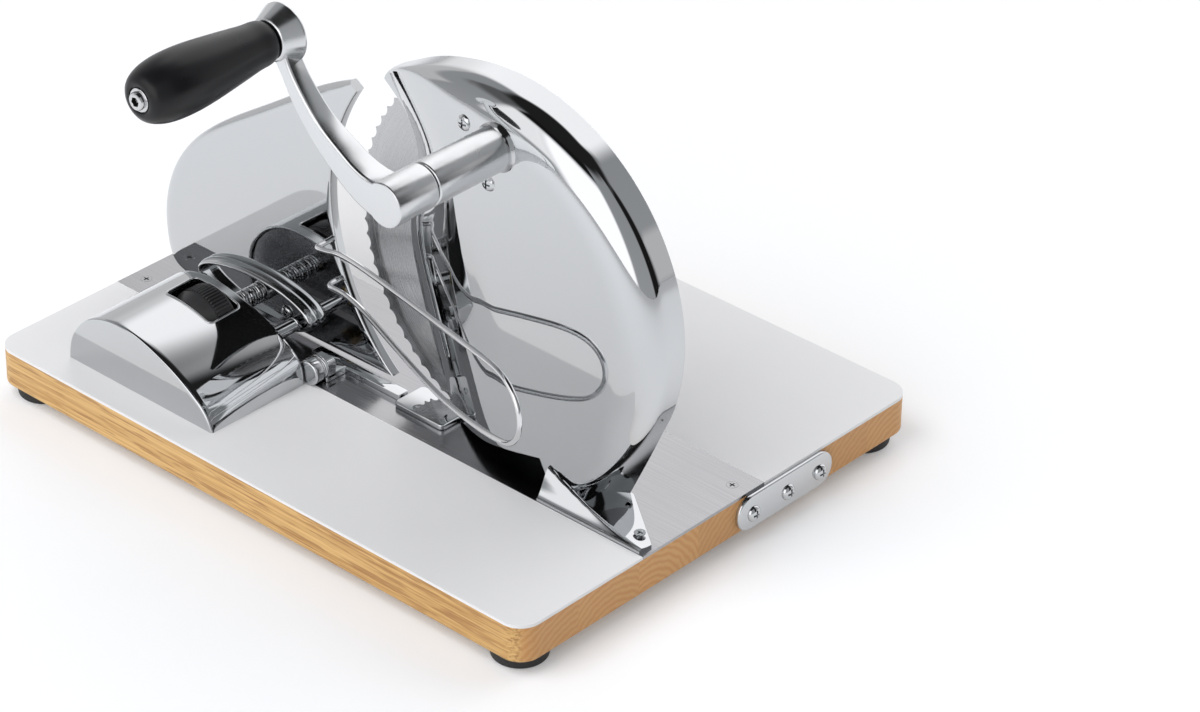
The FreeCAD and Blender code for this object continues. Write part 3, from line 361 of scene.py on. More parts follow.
def eased(points, radius, steps=4):
    """A line of points with its corners rounded; both ends stay."""
    points = [np.array(p, float) for p in points]
    line = [points[0]]
    for before, corner, after in zip(points, points[1:], points[2:]):
        inward, outward = before - corner, after - corner
        reach = min(radius, 0.45 * np.linalg.norm(inward), 0.45 * np.linalg.norm(outward))
        first = corner + inward / np.linalg.norm(inward) * reach
        last = corner + outward / np.linalg.norm(outward) * reach
        for share in np.linspace(0, 1, steps + 1):
            line.append((1 - share) ** 2 * first + 2 * share * (1 - share) * corner
                        + share ** 2 * last)
    line.append(points[-1])
    return line


def grid_faces(rows, columns, close_rows=False, close_columns=False):
    """The four-sided faces of a net of points, row after row."""
    faces = []
    for row in range(rows if close_rows else rows - 1):
        for column in range(columns if close_columns else columns - 1):
            below, beside = (row + 1) % rows, (column + 1) % columns
            faces.append((row * columns + column, row * columns + beside,
                          below * columns + beside, below * columns + column))
    return faces


def soft_min(a, b, width):
    """The smaller of two values, with the change from one to the other rounded over a width."""
    share = np.clip(0.5 + 0.5 * (b - a) / width, 0, 1)
    return b * (1 - share) + a * share - width * share * (1 - share)


def soft_step(value, low, high):
    """Nought below one value, one above another, and a smooth rise between them."""
    share = np.clip((value - low) / (high - low), 0, 1)
    return share * share * (3 - 2 * share)


def mesh_object(name, points, faces, finish=None, edges=()):
    """A new object from points in millimetres."""
    mesh = bpy.data.meshes.new(name)
    mesh.from_pydata([tuple(float(c) * MM for c in p) for p in points], list(edges), list(faces))
    thing = bpy.data.objects.new(name, mesh)
    bpy.context.scene.collection.objects.link(thing)
    if finish:
        mesh.materials.append(finish)
    return thing


def plain_mesh(thing):
    """Turn a thing and its modifiers into one plain mesh."""
    depsgraph = bpy.context.evaluated_depsgraph_get()
    mesh = bpy.data.meshes.new_from_object(thing.evaluated_get(depsgraph), depsgraph=depsgraph)
    thing.modifiers.clear()
    thing.data = mesh
    mesh.name = thing.name
    return thing


def weld(thing, closed=True, flip=False):
    """Merge doubles; point a closed shell's faces outwards."""
    shape = bmesh.new()
    shape.from_mesh(thing.data)
    bmesh.ops.remove_doubles(shape, verts=shape.verts, dist=0.002 * MM)
    bmesh.ops.dissolve_degenerate(shape, edges=shape.edges, dist=0.0005 * MM)
    if closed:
        bmesh.ops.recalc_face_normals(shape, faces=shape.faces)
    if flip:
        bmesh.ops.reverse_faces(shape, faces=shape.faces)
    shape.to_mesh(thing.data)
    shape.free()
    return thing


def fit(thing, body, stands_for=(), sharp=32.0):
    """Smooth a finished piece, keep its hard edges, and fix it to its body."""
    thing.data.shade_smooth()
    thing.data.set_sharp_from_angle(angle=math.radians(sharp))
    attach(thing, body)
    if stands_for:
        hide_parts(*stands_for)
    return thing


def turned(name, profile, x, z, finish, parts=96, closed_profile=False):
    """A body turned about a line along Y, from (radius, y) points."""
    profile = np.array([tuple(p) for p in profile], float)
    points = [(x + radius * math.cos(turn), y, z + radius * math.sin(turn))
              for radius, y in profile for turn in full_turn(parts)]
    faces = grid_faces(len(profile), parts, close_rows=closed_profile, close_columns=True)
    return weld(mesh_object(name, points, faces, finish))


def swept(name, rings, finish, close_path=False):
    """A closed shell through rings of points; open paths get flat ends."""
    rings = np.array(rings, float)
    count, around = rings.shape[:2]
    faces = grid_faces(count, around, close_rows=close_path, close_columns=True)
    if not close_path:
        faces.append(tuple(range(around))[::-1])
        faces.append(tuple((count - 1) * around + n for n in range(around)))
    return weld(mesh_object(name, rings.reshape(-1, 3), faces, finish))


def combined(thing, other, operation):
    """One body from two, where the other is added to it or cut out of it."""
    change = thing.modifiers.new("combine", "BOOLEAN")
    change.operation = operation
    change.solver = "EXACT"
    change.material_mode = "TRANSFER"
    change.object = other
    plain_mesh(thing)
    bpy.data.objects.remove(other)
    return thing


def joined(thing, *others):
    """One body from several."""
    for other in others:
        combined(thing, other, "UNION")
    return thing


def hollowed(thing, cutter):
    """A body with another cut out of it."""
    return combined(thing, cutter, "DIFFERENCE")


def rounded_box(half_width, half_height, radius, steps=5):
    """Points round a box with round corners, anticlockwise, about its middle."""
    points = []
    for sign_x, sign_y, start in ((1, 1, 0), (-1, 1, 90), (-1, -1, 180), (1, -1, 270)):
        for turn in np.radians(np.linspace(start, start + 90, steps)):
            points.append((sign_x * (half_width - radius) + radius * math.cos(turn),
                           sign_y * (half_height - radius) + radius * math.sin(turn)))
    return points


def slab(name, outline, low, high, ease, finish, steps=3):
    """An upright slab from a plan outline, with its edges eased."""
    outline = np.array(outline, float)
    middle = outline.mean(axis=0)
    away = outline - middle
    reach = np.linalg.norm(away, axis=1)[:, None]
    rings = []
    turns = np.linspace(0, math.pi / 2, steps + 1)
    levels = [(ease * (1 - math.sin(turn)), low + ease * (1 - math.cos(turn))) for turn in turns]
    levels += [(inset, low + high - level) for inset, level in reversed(levels)]
    for inset, level in levels:
        ring = middle + away * (1 - inset / reach)
        rings.append([(px, py, level) for px, py in ring])
    return swept(name, rings, finish)


# ---------------------------------------------------------------- node trees for repeated work

class NodeTree:
    """A geometry node tree with named inputs."""

    def __init__(self, name, inputs):
        self.group = bpy.data.node_groups.new(name, "GeometryNodeTree")
        self.sockets = {}
        for label, kind in [("Geometry", "NodeSocketGeometry")] + list(inputs):
            self.sockets[label] = self.group.interface.new_socket(
                label, in_out="INPUT", socket_type=kind)
        self.group.interface.new_socket("Geometry", in_out="OUTPUT",
                                        socket_type="NodeSocketGeometry")
        self.start = self.group.nodes.new("NodeGroupInput")

    def given(self, label):
        return self.start.outputs[label]

    def node(self, kind, inputs=(), **settings):
        return add_node(self.group, kind, inputs, settings)

    def end(self, geometry):
        """Close the tree: real geometry with its finish."""
        real = self.node("GeometryNodeRealizeInstances", {"Geometry": geometry})
        coated = self.node("GeometryNodeSetMaterial", {"Geometry": real.outputs[0],
                                                       "Material": self.given("Finish")})
        out = self.group.nodes.new("NodeGroupOutput")
        self.group.links.new(coated.outputs[0], out.inputs[0])

    def end_with_tube(self, path, sides, radius):
        """Close the tree: a round wire along a curve."""
        section = self.node("GeometryNodeCurvePrimitiveCircle", {"Resolution": sides,
                                                                 "Radius": radius})
        tube = self.node("GeometryNodeCurveToMesh", {"Curve": path,
                                                     "Profile Curve": section.outputs[0],
                                                     "Fill Caps": True})
        self.end(tube.outputs[0])

    def run(self, name, values, points=(), edges=(), faces=()):
        """A plain mesh object made by the tree from a few starting points."""
        thing = mesh_object(name, points, faces, edges=edges)
        modifier = thing.modifiers.new("make", "NODES")
        modifier.node_group = self.group
        for label, value in values.items():
            modifier[self.sockets[label].identifier] = value
        return plain_mesh(thing)


def ring_tree():
    """Copies of one sector round the Y axis, welded into one body."""
    tree = NodeTree("ring_of_copies", [("Copies", "NodeSocketInt"), ("Weld", "NodeSocketFloat"),
                                       ("Finish", "NodeSocketMaterial")])
    line = tree.node("GeometryNodeMeshLine", {"Count": tree.given("Copies"), "Offset": (0, 0, 0)})
    step = tree.node("ShaderNodeMath", {0: 2 * math.pi, 1: tree.given("Copies")}, operation="DIVIDE")
    turn = tree.node("ShaderNodeMath", {0: tree.node("GeometryNodeInputIndex").outputs[0],
                                        1: step.outputs[0]}, operation="MULTIPLY")
    angle = tree.node("ShaderNodeCombineXYZ", {"X": 0.0, "Y": turn.outputs[0], "Z": 0.0})
    copies = tree.node("GeometryNodeInstanceOnPoints",
                       {"Points": line.outputs[0], "Instance": tree.given("Geometry"),
                        "Rotation": angle.outputs[0]})
    real = tree.node("GeometryNodeRealizeInstances", {"Geometry": copies.outputs[0]})
    whole = tree.node("GeometryNodeMergeByDistance", {"Geometry": real.outputs[0],
                                                      "Distance": tree.given("Weld")})
    tree.end(whole.outputs[0])
    return tree


def place_tree():
    """One fastener at every starting point, all turned alike."""
    tree = NodeTree("fasteners_at_places", [("Fastener", "NodeSocketObject"),
                                            ("Turn", "NodeSocketVector"),
                                            ("Finish", "NodeSocketMaterial")])
    fastener = tree.node("GeometryNodeObjectInfo", {"Object": tree.given("Fastener")})
    copies = tree.node("GeometryNodeInstanceOnPoints",
                       {"Points": tree.given("Geometry"), "Instance": fastener.outputs["Geometry"],
                        "Rotation": tree.given("Turn")})
    tree.end(copies.outputs[0])
    return tree


def wire_tree():
    """A round wire along the starting line."""
    tree = NodeTree("wire_along_line", [("Radius", "NodeSocketFloat"), ("Sides", "NodeSocketInt"),
                                        ("Finish", "NodeSocketMaterial")])
    path = tree.node("GeometryNodeMeshToCurve", {"Mesh": tree.given("Geometry")})
    tree.end_with_tube(path.outputs[0], tree.given("Sides"), tree.given("Radius"))
    return tree


def coil_tree():
    """A coiled wire along the Z axis."""
    tree = NodeTree("coiled_wire", [("Turns", "NodeSocketFloat"), ("Radius", "NodeSocketFloat"),
                                    ("Length", "NodeSocketFloat"), ("Wire", "NodeSocketFloat"),
                                    ("Finish", "NodeSocketMaterial")])
    path = tree.node("GeometryNodeCurveSpiral",
                     {"Resolution": 36, "Rotations": tree.given("Turns"),
                      "Start Radius": tree.given("Radius"), "End Radius": tree.given("Radius"),
                      "Height": tree.given("Length")})
    tree.end_with_tube(path.outputs[0], 10, tree.given("Wire"))
    return tree


RING = ring_tree()
PLACES = place_tree()
WIRE = wire_tree()
COIL = coil_tree()


def ring_of_sectors(name, sector, copies, finish, x, z):
    """One body of equal sectors round a line along Y; a sector is a row of closed sections."""
    points = [place for section in sector for place in section]
    faces = grid_faces(len(sector), len(sector[0]), close_columns=True)
    thing = RING.run(name, {"Copies": copies, "Weld": 0.004 * MM, "Finish": finish},
                     points, faces=faces)
    weld(thing)
    thing.data.transform(Matrix.Translation((x * MM, 0, z * MM)))
    return thing


def wire(name, points, radius, finish, closed=False, sides=16):
    """A round wire through points, as one closed mesh."""
    count = len(points)
    edges = [(n, n + 1) for n in range(count - 1)]
    if closed:
        edges.append((count - 1, 0))
    tube = WIRE.run(name, {"Radius": radius * MM, "Sides": sides, "Finish": finish},
                    points, edges)
    return weld(tube)


# ---------------------------------------------------------------- fasteners

BOX_FACES = [(3, 2, 1, 0), (4, 5, 6, 7), (0, 1, 5, 4), (1, 2, 6, 5), (2, 3, 7, 6), (3, 0, 4, 7)]
FACING_FRONT = (math.pi / 2, 0.0, 0.0)
FACING_RIGHT = (0.0, math.pi / 2, 0.0)
FACING_UP = (0.0, 0.0, 0.0)


def cross_screw(head, height, shank, sink, finish):
    """A cross recess screw along +Z: a domed head that stands on the origin, or a sunk flat one."""
    if sink:
        outline = [(0, 0.0), (head - 0.15, 0.0), (head, -0.15), (shank, -(head - shank)),
                   (shank, -sink), (0, -sink)]
    else:
        outline = [(0, height), (head * 0.35, height * 0.97), (head * 0.66, height * 0.82),
                   (head * 0.88, height * 0.5), (head, height * 0.12), (head, 0), (shank, 0),
                   (shank, -2.5), (0, -2.5)]
    parts = 32
    points = [(r * math.cos(t), r * math.sin(t), level)
              for r, level in outline for t in full_turn(parts)]
    faces = grid_faces(len(outline), parts, close_columns=True)
    body = weld(mesh_object("cross_screw", points, faces, finish))
    arm, narrow, deep = head * 0.62, head * 0.13, head * 0.42
    for turn in (0, 90):
        ring = []
        for level, share in ((height + 1, 1.25), (height - deep, 0.55)):
            for px, py in ((arm, narrow), (-arm, narrow), (-arm, -narrow), (arm, -narrow)):
                px, py = px * share, py * (0.7 + 0.3 * share)
                if turn:
                    px, py = -py, px
                ring.append((px, py, level))
        hollowed(body, weld(mesh_object("recess", ring, BOX_FACES, finish)))
    return body


def fasteners(name, shape, finish, places, turn, body, stands_for):
    """The same screw at several places, as one piece; its shape is head, height, shank and sink."""
    screw = cross_screw(*shape, finish)
    thing = PLACES.run(name, {"Fastener": screw, "Turn": turn, "Finish": finish}, places)
    bpy.data.objects.remove(screw)
    return fit(thing, body, stands_for)


# ---------------------------------------------------------------- guard

BLADE_X, BLADE_Z = BLADE_CENTRE.x / MM, BLADE_CENTRE.z / MM
BLADE_BACK = 9.5
GUARD_RADIUS = 98.9
GUARD_DEPTH = 23.0
GUARD_WALL = 1.5
GUARD_FACE = BLADE_BACK - GUARD_DEPTH
DECK = 27.0
LIP_DEPTH = 3.1
TIP_RISE = [(96.0, 0.0), (105.5, 0.5), (112.3, 1.3), (119.6, 2.4), (128.7, 4.2), (135.2, 5.7),
            (137.65, 5.0)]
OPENING = [(-76.8, 70.0), (-71.4, 65.6), (-65.6, 60.4), (-60.4, 54.0), (-56.2, 45.5), (-55.4, 36.7),
           (-57.2, 22.0), (-59.8, 9.0), (-60.6, -2.6), (-59.0, -14.3), (-54.8, -30.0),
           (-46.5, -55.0), (-32.0, -87.5)]
RAMP = [(-92.0, -32.0, 14.0), (-72.0, -40.0, 11.0), (-50.0, -48.2, 7.0), (-30.0, -54.8, 2.0),
        (-12.0, -59.4, -2.5), (4.0, -60.6, -6.5), (20.0, -58.4, -10.0), (36.0, -55.8, -12.6),
        (52.0, -59.4, -13.4), (66.0, -68.0, -13.2), (80.0, -76.0, -11.6), (104.0, -82.0, -8.0)]
RIM_START, SKIRT_TURN = 137.65, -27.0
# The rim's round shoulder fades to a small corner between these turns, towards the foot.
SHOULDER_FADE = (-48.0, -16.0)
SHOULDER_WIDTH, SHOULDER_DROP, CORNER_ROUND = 18.0, 12.0, 3.0
NARROW_REACH = 44.0
FOOT_CORNER = 70.0
RIM_END = math.degrees(math.asin((DECK - BLADE_Z) / GUARD_RADIUS))

RAMP_TABLE = smooth_line(RAMP, 240)
RISE_TABLE = smooth_line(TIP_RISE, 60)


def rim_radius(degrees):
    """Distance of the guard's front rim from the blade's centre."""
    return GUARD_RADIUS + np.interp(degrees, RISE_TABLE[:, 0], RISE_TABLE[:, 1], left=0.0)


def guard_depth(across, up):
    """How far the guard's outer face stands before the blade's back, about the blade's centre."""
    degrees = np.degrees(np.arctan2(up, across))
    degrees = np.where(degrees < -110, degrees + 360, degrees)
    inside = np.maximum(rim_radius(degrees) - np.hypot(across, up), 0)
    soft = soft_step(degrees, *SHOULDER_FADE)
    width = CORNER_ROUND + (SHOULDER_WIDTH - CORNER_ROUND) * soft
    drop = CORNER_ROUND + (SHOULDER_DROP - CORNER_ROUND) * soft
    share = np.clip(1 - inside / width, 0, 1)
    shoulder = GUARD_DEPTH - drop * (1 - np.sqrt(np.maximum(1 - share * share, 0)))
    lip = np.interp(up, RAMP_TABLE[:, 0], RAMP_TABLE[:, 1])
    crease = np.interp(up, RAMP_TABLE[:, 0], RAMP_TABLE[:, 2])
    run = (across - lip) / (crease - lip)
    climb = 0.72 * (1 - (1 - run) * np.sqrt(np.abs(1 - run))) + 0.28 * run
    ramp = LIP_DEPTH + (GUARD_DEPTH - LIP_DEPTH) * np.clip(climb, 0, 1.4)
    return soft_min(shoulder, ramp, 3.0)


def on_guard(x, z, proud=0.0):
    """The y of the guard's outer face at a place, with an amount added towards the front."""
    return BLADE_BACK - guard_depth(np.asarray(x) - BLADE_X, np.asarray(z) - BLADE_Z) - proud


def guard_rim(count, rear=False):
    """Points along the rim from the tip round to the board; the rear edge runs out to the foot."""
    turns = np.linspace(RIM_START, RIM_END, count)
    radius = rim_radius(turns)
    across = radius * np.cos(np.radians(turns))
    up = radius * np.sin(np.radians(turns))
    if rear:
        share = np.clip((SKIRT_TURN - turns) / (SKIRT_TURN - RIM_END), 0, 1)
        low = turns < SKIRT_TURN
        start_x = GUARD_RADIUS * math.cos(math.radians(SKIRT_TURN))
        start_z = GUARD_RADIUS * math.sin(math.radians(SKIRT_TURN))
        across = np.where(low, start_x + (FOOT_CORNER - start_x) * share, across)
        up = np.where(low, start_z + (DECK - BLADE_Z - start_z) * share, up)
    return np.stack([across, up], axis=1)


def make_guard_shell():
    """The polished guard: skirt, round shoulder and hollowed face, with a beaded lip."""
    count, skirt_rows, shoulder_rows, face_rows = 280, 7, 16, 64
    front, rear = guard_rim(count), guard_rim(count, rear=True)
    rim_depth = guard_depth(front[:, 0], front[:, 1])
    opening = smooth_line(OPENING, count)
    inward = -front / np.linalg.norm(front, axis=1)[:, None]
    reach = np.linalg.norm(opening - front, axis=1)
    scale = np.minimum(1.0, reach / NARROW_REACH)[:, None]
    rows = []
    for share in np.linspace(0, 1, skirt_rows)[:-1]:
        place = rear + (front - rear) * share ** 0.85
        rows.append(np.column_stack([place, rim_depth * share]))
    places = [front + inward * (SHOULDER_WIDTH * (1 - math.cos(turn))) * scale
              for turn in np.linspace(0, math.pi / 2, shoulder_rows)]
    start = front + inward * SHOULDER_WIDTH * scale
    places += [start + (opening - start) * share for share in np.linspace(0, 1, face_rows)[1:]]
    for place in places:
        rows.append(np.column_stack([place, guard_depth(place[:, 0], place[:, 1])]))
    net = np.array(rows).transpose(1, 0, 2)
    net[:, :, 1] = np.maximum(net[:, :, 1], DECK - BLADE_Z)
    points = np.stack([net[:, :, 0] + BLADE_X, BLADE_BACK - net[:, :, 2], net[:, :, 1] + BLADE_Z],
                      axis=2).reshape(-1, 3)
    shell = mesh_object("guard_shell", points, grid_faces(*net.shape[:2]), INNER_SATIN)
    shell.data.materials.append(CHROME)
    weld(shell, closed=False, flip=True)
    wall = shell.modifiers.new("wall", "SOLIDIFY")
    wall.thickness = GUARD_WALL * MM
    wall.offset = -1.0
    wall.material_offset = 1
    wall.material_offset_rim = 1
    wall.use_even_offset = False
    plain_mesh(shell)
    fit(shell, "base", ["blade_guard"], sharp=38)
    bead = [(u + BLADE_X, BLADE_BACK - guard_depth(np.array(u), np.array(w)) + 0.6, w + BLADE_Z)
            for u, w in smooth_line(OPENING, 160)]
    fit(wire("guard_lip", bead, 0.95, CHROME, sides=12), "base")


def flat_ring(x, z, radius, rise, parts):
    """A round ring of (x, z, rise) points."""
    return [(x + radius * math.cos(t), z + radius * math.sin(t), rise) for t in full_turn(parts)]


def patch_on_guard(name, rings, closed_middle):
    """A thin raised shape laid on the guard: rings of (x, z, rise) points from inside out."""
    rings = np.array(rings, float)
    rows, around = rings.shape[:2]
    points = np.stack([rings[:, :, 0], on_guard(rings[:, :, 0], rings[:, :, 1], rings[:, :, 2]),
                       rings[:, :, 1]], axis=2).reshape(-1, 3)
    faces = grid_faces(rows, around, close_columns=True)
    if closed_middle:
        faces.append(tuple(range(around)))
    thing = mesh_object(name, points, faces, CHROME)
    weld(thing, closed=False)
    if sum(face.normal.y * face.area for face in thing.data.polygons) > 0:
        thing.data.flip_normals()
    return thing


CRANK_X, CRANK_Z = 70.4, 191.3
NOSE_RADIUS, NOSE_FRONT, NOSE_BORE, NOSE_BACK = 10.5, -59.9, 7.5, -2.6
SWEEP, SWEEP_LIFT = 4.5, 0.02
CASE_SCREW_TURNS, CASE_SCREW_REACH = (167.0, 257.0), 20.0
# Radius and rise of the boss round each screw, from inside out.
CASE_BOSS = [(4.4, 1.3), (5.2, 1.3), (5.8, 1.15), (6.2, 0.8), (6.7, 0.35), (7.4, 0.1), (8.4, 0.01)]
OVAL_PLACE, OVAL_HALF, OVAL_RADIUS = (36.0, -3.5), 29.5, 10.5
# Growth and rise of the oval's rings, from inside out.
OVAL_SECTION = [(-10.3, 1.05), (-6.0, 1.05), (-2.2, 1.05), (-1.3, 1.0), (-0.7, 0.82), (-0.3, 0.5),
                (0.0, 0.2), (0.5, 0.04), (1.2, 0.01)]


def make_nose():
    """The long crank bearing and the hollow sweep where it leaves the guard."""
    outline = eased([(NOSE_BORE, NOSE_FRONT + 6), (NOSE_BORE, NOSE_FRONT), (9.9, NOSE_FRONT),
                     (NOSE_RADIUS, NOSE_FRONT + 0.6), (NOSE_RADIUS, -40.0), (NOSE_RADIUS, -20.0),
                     (NOSE_RADIUS, NOSE_BACK), (NOSE_BORE, NOSE_BACK)], 0.5)
    nose = turned("crank_bearing", outline, CRANK_X, CRANK_Z, SATIN, closed_profile=True)
    fit(nose, "base")
    rings = []
    for step in np.linspace(0, math.pi / 2, 14):
        radius = NOSE_RADIUS + SWEEP_LIFT + SWEEP * (1 - math.cos(step))
        rise = SWEEP * (1 - math.sin(step)) + SWEEP_LIFT
        rings.append(flat_ring(CRANK_X, CRANK_Z, radius, rise, 96))
    fit(patch_on_guard("bearing_sweep", rings, False), "base", sharp=60)


def make_oval():
    """The raised oval, left bare."""
    middle_x, middle_z = BLADE_X + OVAL_PLACE[0], BLADE_Z + OVAL_PLACE[1]
    rings = []
    for growth, rise in OVAL_SECTION:
        radius = OVAL_RADIUS + growth
        ring = []
        for side, start in ((1, -90), (-1, 90)):
            for turn in np.radians(np.linspace(start, start + 180, 24)):
                ring.append((middle_x + side * OVAL_HALF + radius * math.cos(turn),
                             middle_z + radius * math.sin(turn), rise))
        rings.append(ring)
    fit(patch_on_guard("bare_oval", rings, True), "base", sharp=60)


def make_case_screws():
    """Two domed screws beside the crank bearing, in shallow bosses."""
    points = []
    for degrees in CASE_SCREW_TURNS:
        x = CRANK_X + CASE_SCREW_REACH * math.cos(math.radians(degrees))
        z = CRANK_Z + CASE_SCREW_REACH * math.sin(math.radians(degrees))
        rings = [flat_ring(x, z, radius, rise, 48) for radius, rise in CASE_BOSS]
        fit(patch_on_guard("screw_boss_%d" % degrees, rings, True), "base", sharp=60)
        points.append((x, float(on_guard(x, z, 1.25)), z))
    fasteners("case_screws", (3.9, 1.9, 1.5, 0), CHROME, points, FACING_FRONT, "base",
              ["gearcase_screws"])


FOOT_LEFT, FOOT_RIGHT, FOOT_FRONT, FOOT_REAR = 104.0, 165.6, -23.6, 9.0
FOOT_BEND, FOOT_SLANT, FOOT_PLATE = 133.0, 24.5 / 32.6, 1.4
RIDGE_START, RIDGE_END, RIDGE_HEIGHT = 108.0, 161.0, 11.0


def make_guard_foot():
    """The guard's low foot on the steel strip, with a ridge that runs out to its front corner."""
    columns, rows = 60, 40
    top = []
    for x in np.linspace(FOOT_LEFT, FOOT_RIGHT, columns):
        rear = FOOT_REAR if x < FOOT_BEND else FOOT_REAR - (x - FOOT_BEND) * FOOT_SLANT
        crest_y = -15.5 - (x - RIDGE_START) * 0.115
        left = max(0.0, (RIDGE_END - x) / (RIDGE_END - RIDGE_START))
        crest = 1.2 + RIDGE_HEIGHT * left ** 1.7
        line = []
        for share in np.linspace(0, 1, rows):
            y = FOOT_FRONT + (rear - FOOT_FRONT) * share
            if y < crest_y:
                fall = soft_step(np.array(y), FOOT_FRONT, crest_y) ** 0.9
            else:
                fall = max(0.0, 1 - (y - crest_y) / max(rear - crest_y, 0.5)) ** 1.9
            line.append((x, y, DECK + FOOT_PLATE + crest * float(fall)))
        top.append(line)
    top = np.array(top)
    low = top.copy()
    low[:, :, 2] = DECK
    points = np.concatenate([top.reshape(-1, 3), low.reshape(-1, 3)])
    size = columns * rows
    faces = grid_faces(columns, rows)
    faces += [tuple(n + size for n in face[::-1]) for face in grid_faces(columns, rows)]
    border = ([n * rows for n in range(columns)] + [(columns - 1) * rows + n for n in range(1, rows)]
              + [n * rows + rows - 1 for n in range(columns - 2, -1, -1)]
              + list(range(rows - 2, 0, -1)))
    for a, b in zip(border, border[1:] + border[:1]):
        faces.append((a, b, b + size, a + size))
    foot = weld(mesh_object("guard_foot", points, faces, CHROME))
    fit(foot, "base", sharp=50)
    lug = slab("guard_lug", [(18.5 + px, -2.5 + py) for px, py in rounded_box(15.5, 9.7, 2.5)],
               DECK, DECK + 3.0, 0.7, CHROME)
    fit(lug, "base")
    places = [(157.0, -13.5, DECK + 3.02), (15.0, -8.0, DECK + 3.02)]
    fasteners("guard_fixing_screws", (2.8, 0.0, 1.4, 2.9), CHROME, places, FACING_UP, "base",
              ["guard_screws"])


def make_guard_bosses():
    """The bosses inside the guard that carry the idler's pin and the blade's axle."""
    idler = node_centre("idler_gear") / MM
    for name, x, z, radius, bore, back in (("idler_boss", idler.x, idler.z, 7.0, 3.0, -2.1),
                                           ("axle_boss", BLADE_X, BLADE_Z, 9.5, 4.0, -2.1)):
        profile = eased([(bore, GUARD_FACE + 2.5), (bore, back), (radius, back),
                         (radius, GUARD_FACE + 1.2), (bore, GUARD_FACE + 1.2)], 0.6)
        fit(turned(name, profile, x, z, CHROME, parts=48, closed_profile=True), "base")


# ---------------------------------------------------------------- blade

BLADE_RADIUS, BLADE_TEETH, TOOTH_DEPTH, SCALLOP = 96.0, 80, 1.7, 4.6


def make_blade():
    """The scalloped blade: one tooth's sector, ground hollow on its front, repeated round."""
    half = math.pi / BLADE_TEETH
    centre = BLADE_RADIUS + SCALLOP - TOOTH_DEPTH
    levels = [5.06, 12.0, 15.0, 30.0, 50.0, 70.0, 84.0, 86.6, 87.2, 89.2, 91.6]
    columns = np.linspace(-half, half, 9)
    front, back = [], []
    for turn in columns:
        inner = SCALLOP ** 2 - (centre * math.sin(turn)) ** 2
        edge = BLADE_RADIUS
        if inner > 0:
            edge = min(edge, centre * math.cos(turn) - math.sqrt(inner))
        bite = (BLADE_RADIUS - edge) / TOOTH_DEPTH
        line = []
        for radius in levels + [edge - 0.6, edge]:
            bevel = soft_step(np.array(radius), 87.0, BLADE_RADIUS)
            groove = 0.10 * bite * soft_step(np.array(radius), 90.0, 94.0)
            level = BLADE_BACK - 1.2 + 0.8 * float(bevel) + float(groove)
            line.append((radius, min(level, BLADE_BACK - 0.22)))
        front.append([(r * math.cos(turn), y, r * math.sin(turn)) for r, y in line])
        back.append([(r * math.cos(turn), BLADE_BACK, r * math.sin(turn)) for r, y in line])
    sector = [a + b[::-1] for a, b in zip(front, back)]
    blade = ring_of_sectors("round_blade", sector, BLADE_TEETH, GROUND, BLADE_X, BLADE_Z)
    fit(blade, "blade", ["blade"], sharp=24)


# ---------------------------------------------------------------- crank and grip

ARM_FRONT, ARM_DEPTH, ARM_CROWN = -84.5, 14.0, 0.35
TAPER_DEPTH, TAPER_START, TAPER_LENGTH = 8.0, 58.0, 88.0
BOSS_X, BOSS_Z = 4.2, 246.8
ARM_UPPER = [(0, 10.5), (-6, 9.3), (-16.7, 11.4), (-27.4, 17.4), (-38.0, 24.6), (-48.3, 35.4),
             (-57.0, 49.0), (BOSS_X - CRANK_X + 6.5, BOSS_Z - CRANK_Z + 3)]
ARM_LOWER = [(0, -10.5), (-16, -5.5), (-30.5, 3.8), (-45.0, 17.0), (-56.4, 31.6), (-64.8, 45.3),
             (BOSS_X - CRANK_X - 6.5, BOSS_Z - CRANK_Z - 2)]


def arm_back(x):
    """The y of the arm's back, which falls away towards the grip."""
    return ARM_FRONT + ARM_DEPTH - TAPER_DEPTH * min(max((TAPER_START - x) / TAPER_LENGTH, 0.0), 1.0)


def make_crank():
    """The arm with its round hub and the flared boss under the grip."""
    stations = 72
    upper = smooth_line(ARM_UPPER, stations)
    lower = smooth_line(ARM_LOWER, stations)
    rings = []
    for (ux, uz), (lx, lz) in zip(upper, lower):
        middle = np.array([(ux + lx) / 2 + CRANK_X, (uz + lz) / 2 + CRANK_Z])
        across = np.array([ux - lx, uz - lz])
        half = np.linalg.norm(across) / 2
        across /= 2 * half
        back = arm_back(middle[0])
        deep = (back - ARM_FRONT) / 2
        ring = []
        for a, b in rounded_box(half, deep, min(1.5, deep * 0.45), 6):
            crown = ARM_CROWN * (1 - (b / deep) ** 2) * (1 if a > 0 else -1)
            place = middle + across * (a + crown - ARM_CROWN * np.sign(a))
            ring.append((place[0], (ARM_FRONT + back) / 2 + b, place[1]))
        rings.append(ring)
    near, far = ARM_FRONT + 0.01, NOSE_FRONT - 0.4
    hub = eased([(0, near), (NOSE_RADIUS, near), (NOSE_RADIUS, -70.0), (NOSE_RADIUS, far - 0.8),
                 (9.7, far), (5.1, far), (0, far)], 0.9)
    near = ARM_FRONT - 1.9
    boss = eased([(0, near), (9.3, near), (10.0, near + 0.7), (14.1, near + 9.6),
                  (13.4, near + 10.9), (11.8, near + 11.2), (0, near + 11.2)], 0.8)
    arm = joined(swept("crank_bar", rings, SATIN),
                 turned("crank_hub", hub, CRANK_X, CRANK_Z, SATIN),
                 turned("grip_boss", boss, BOSS_X, BOSS_Z, SATIN))
    fit(arm, "crank", ["crank_arm"])


GRIP_LENGTH = 73.2
GRIP_NEAR = ARM_FRONT - 2.3


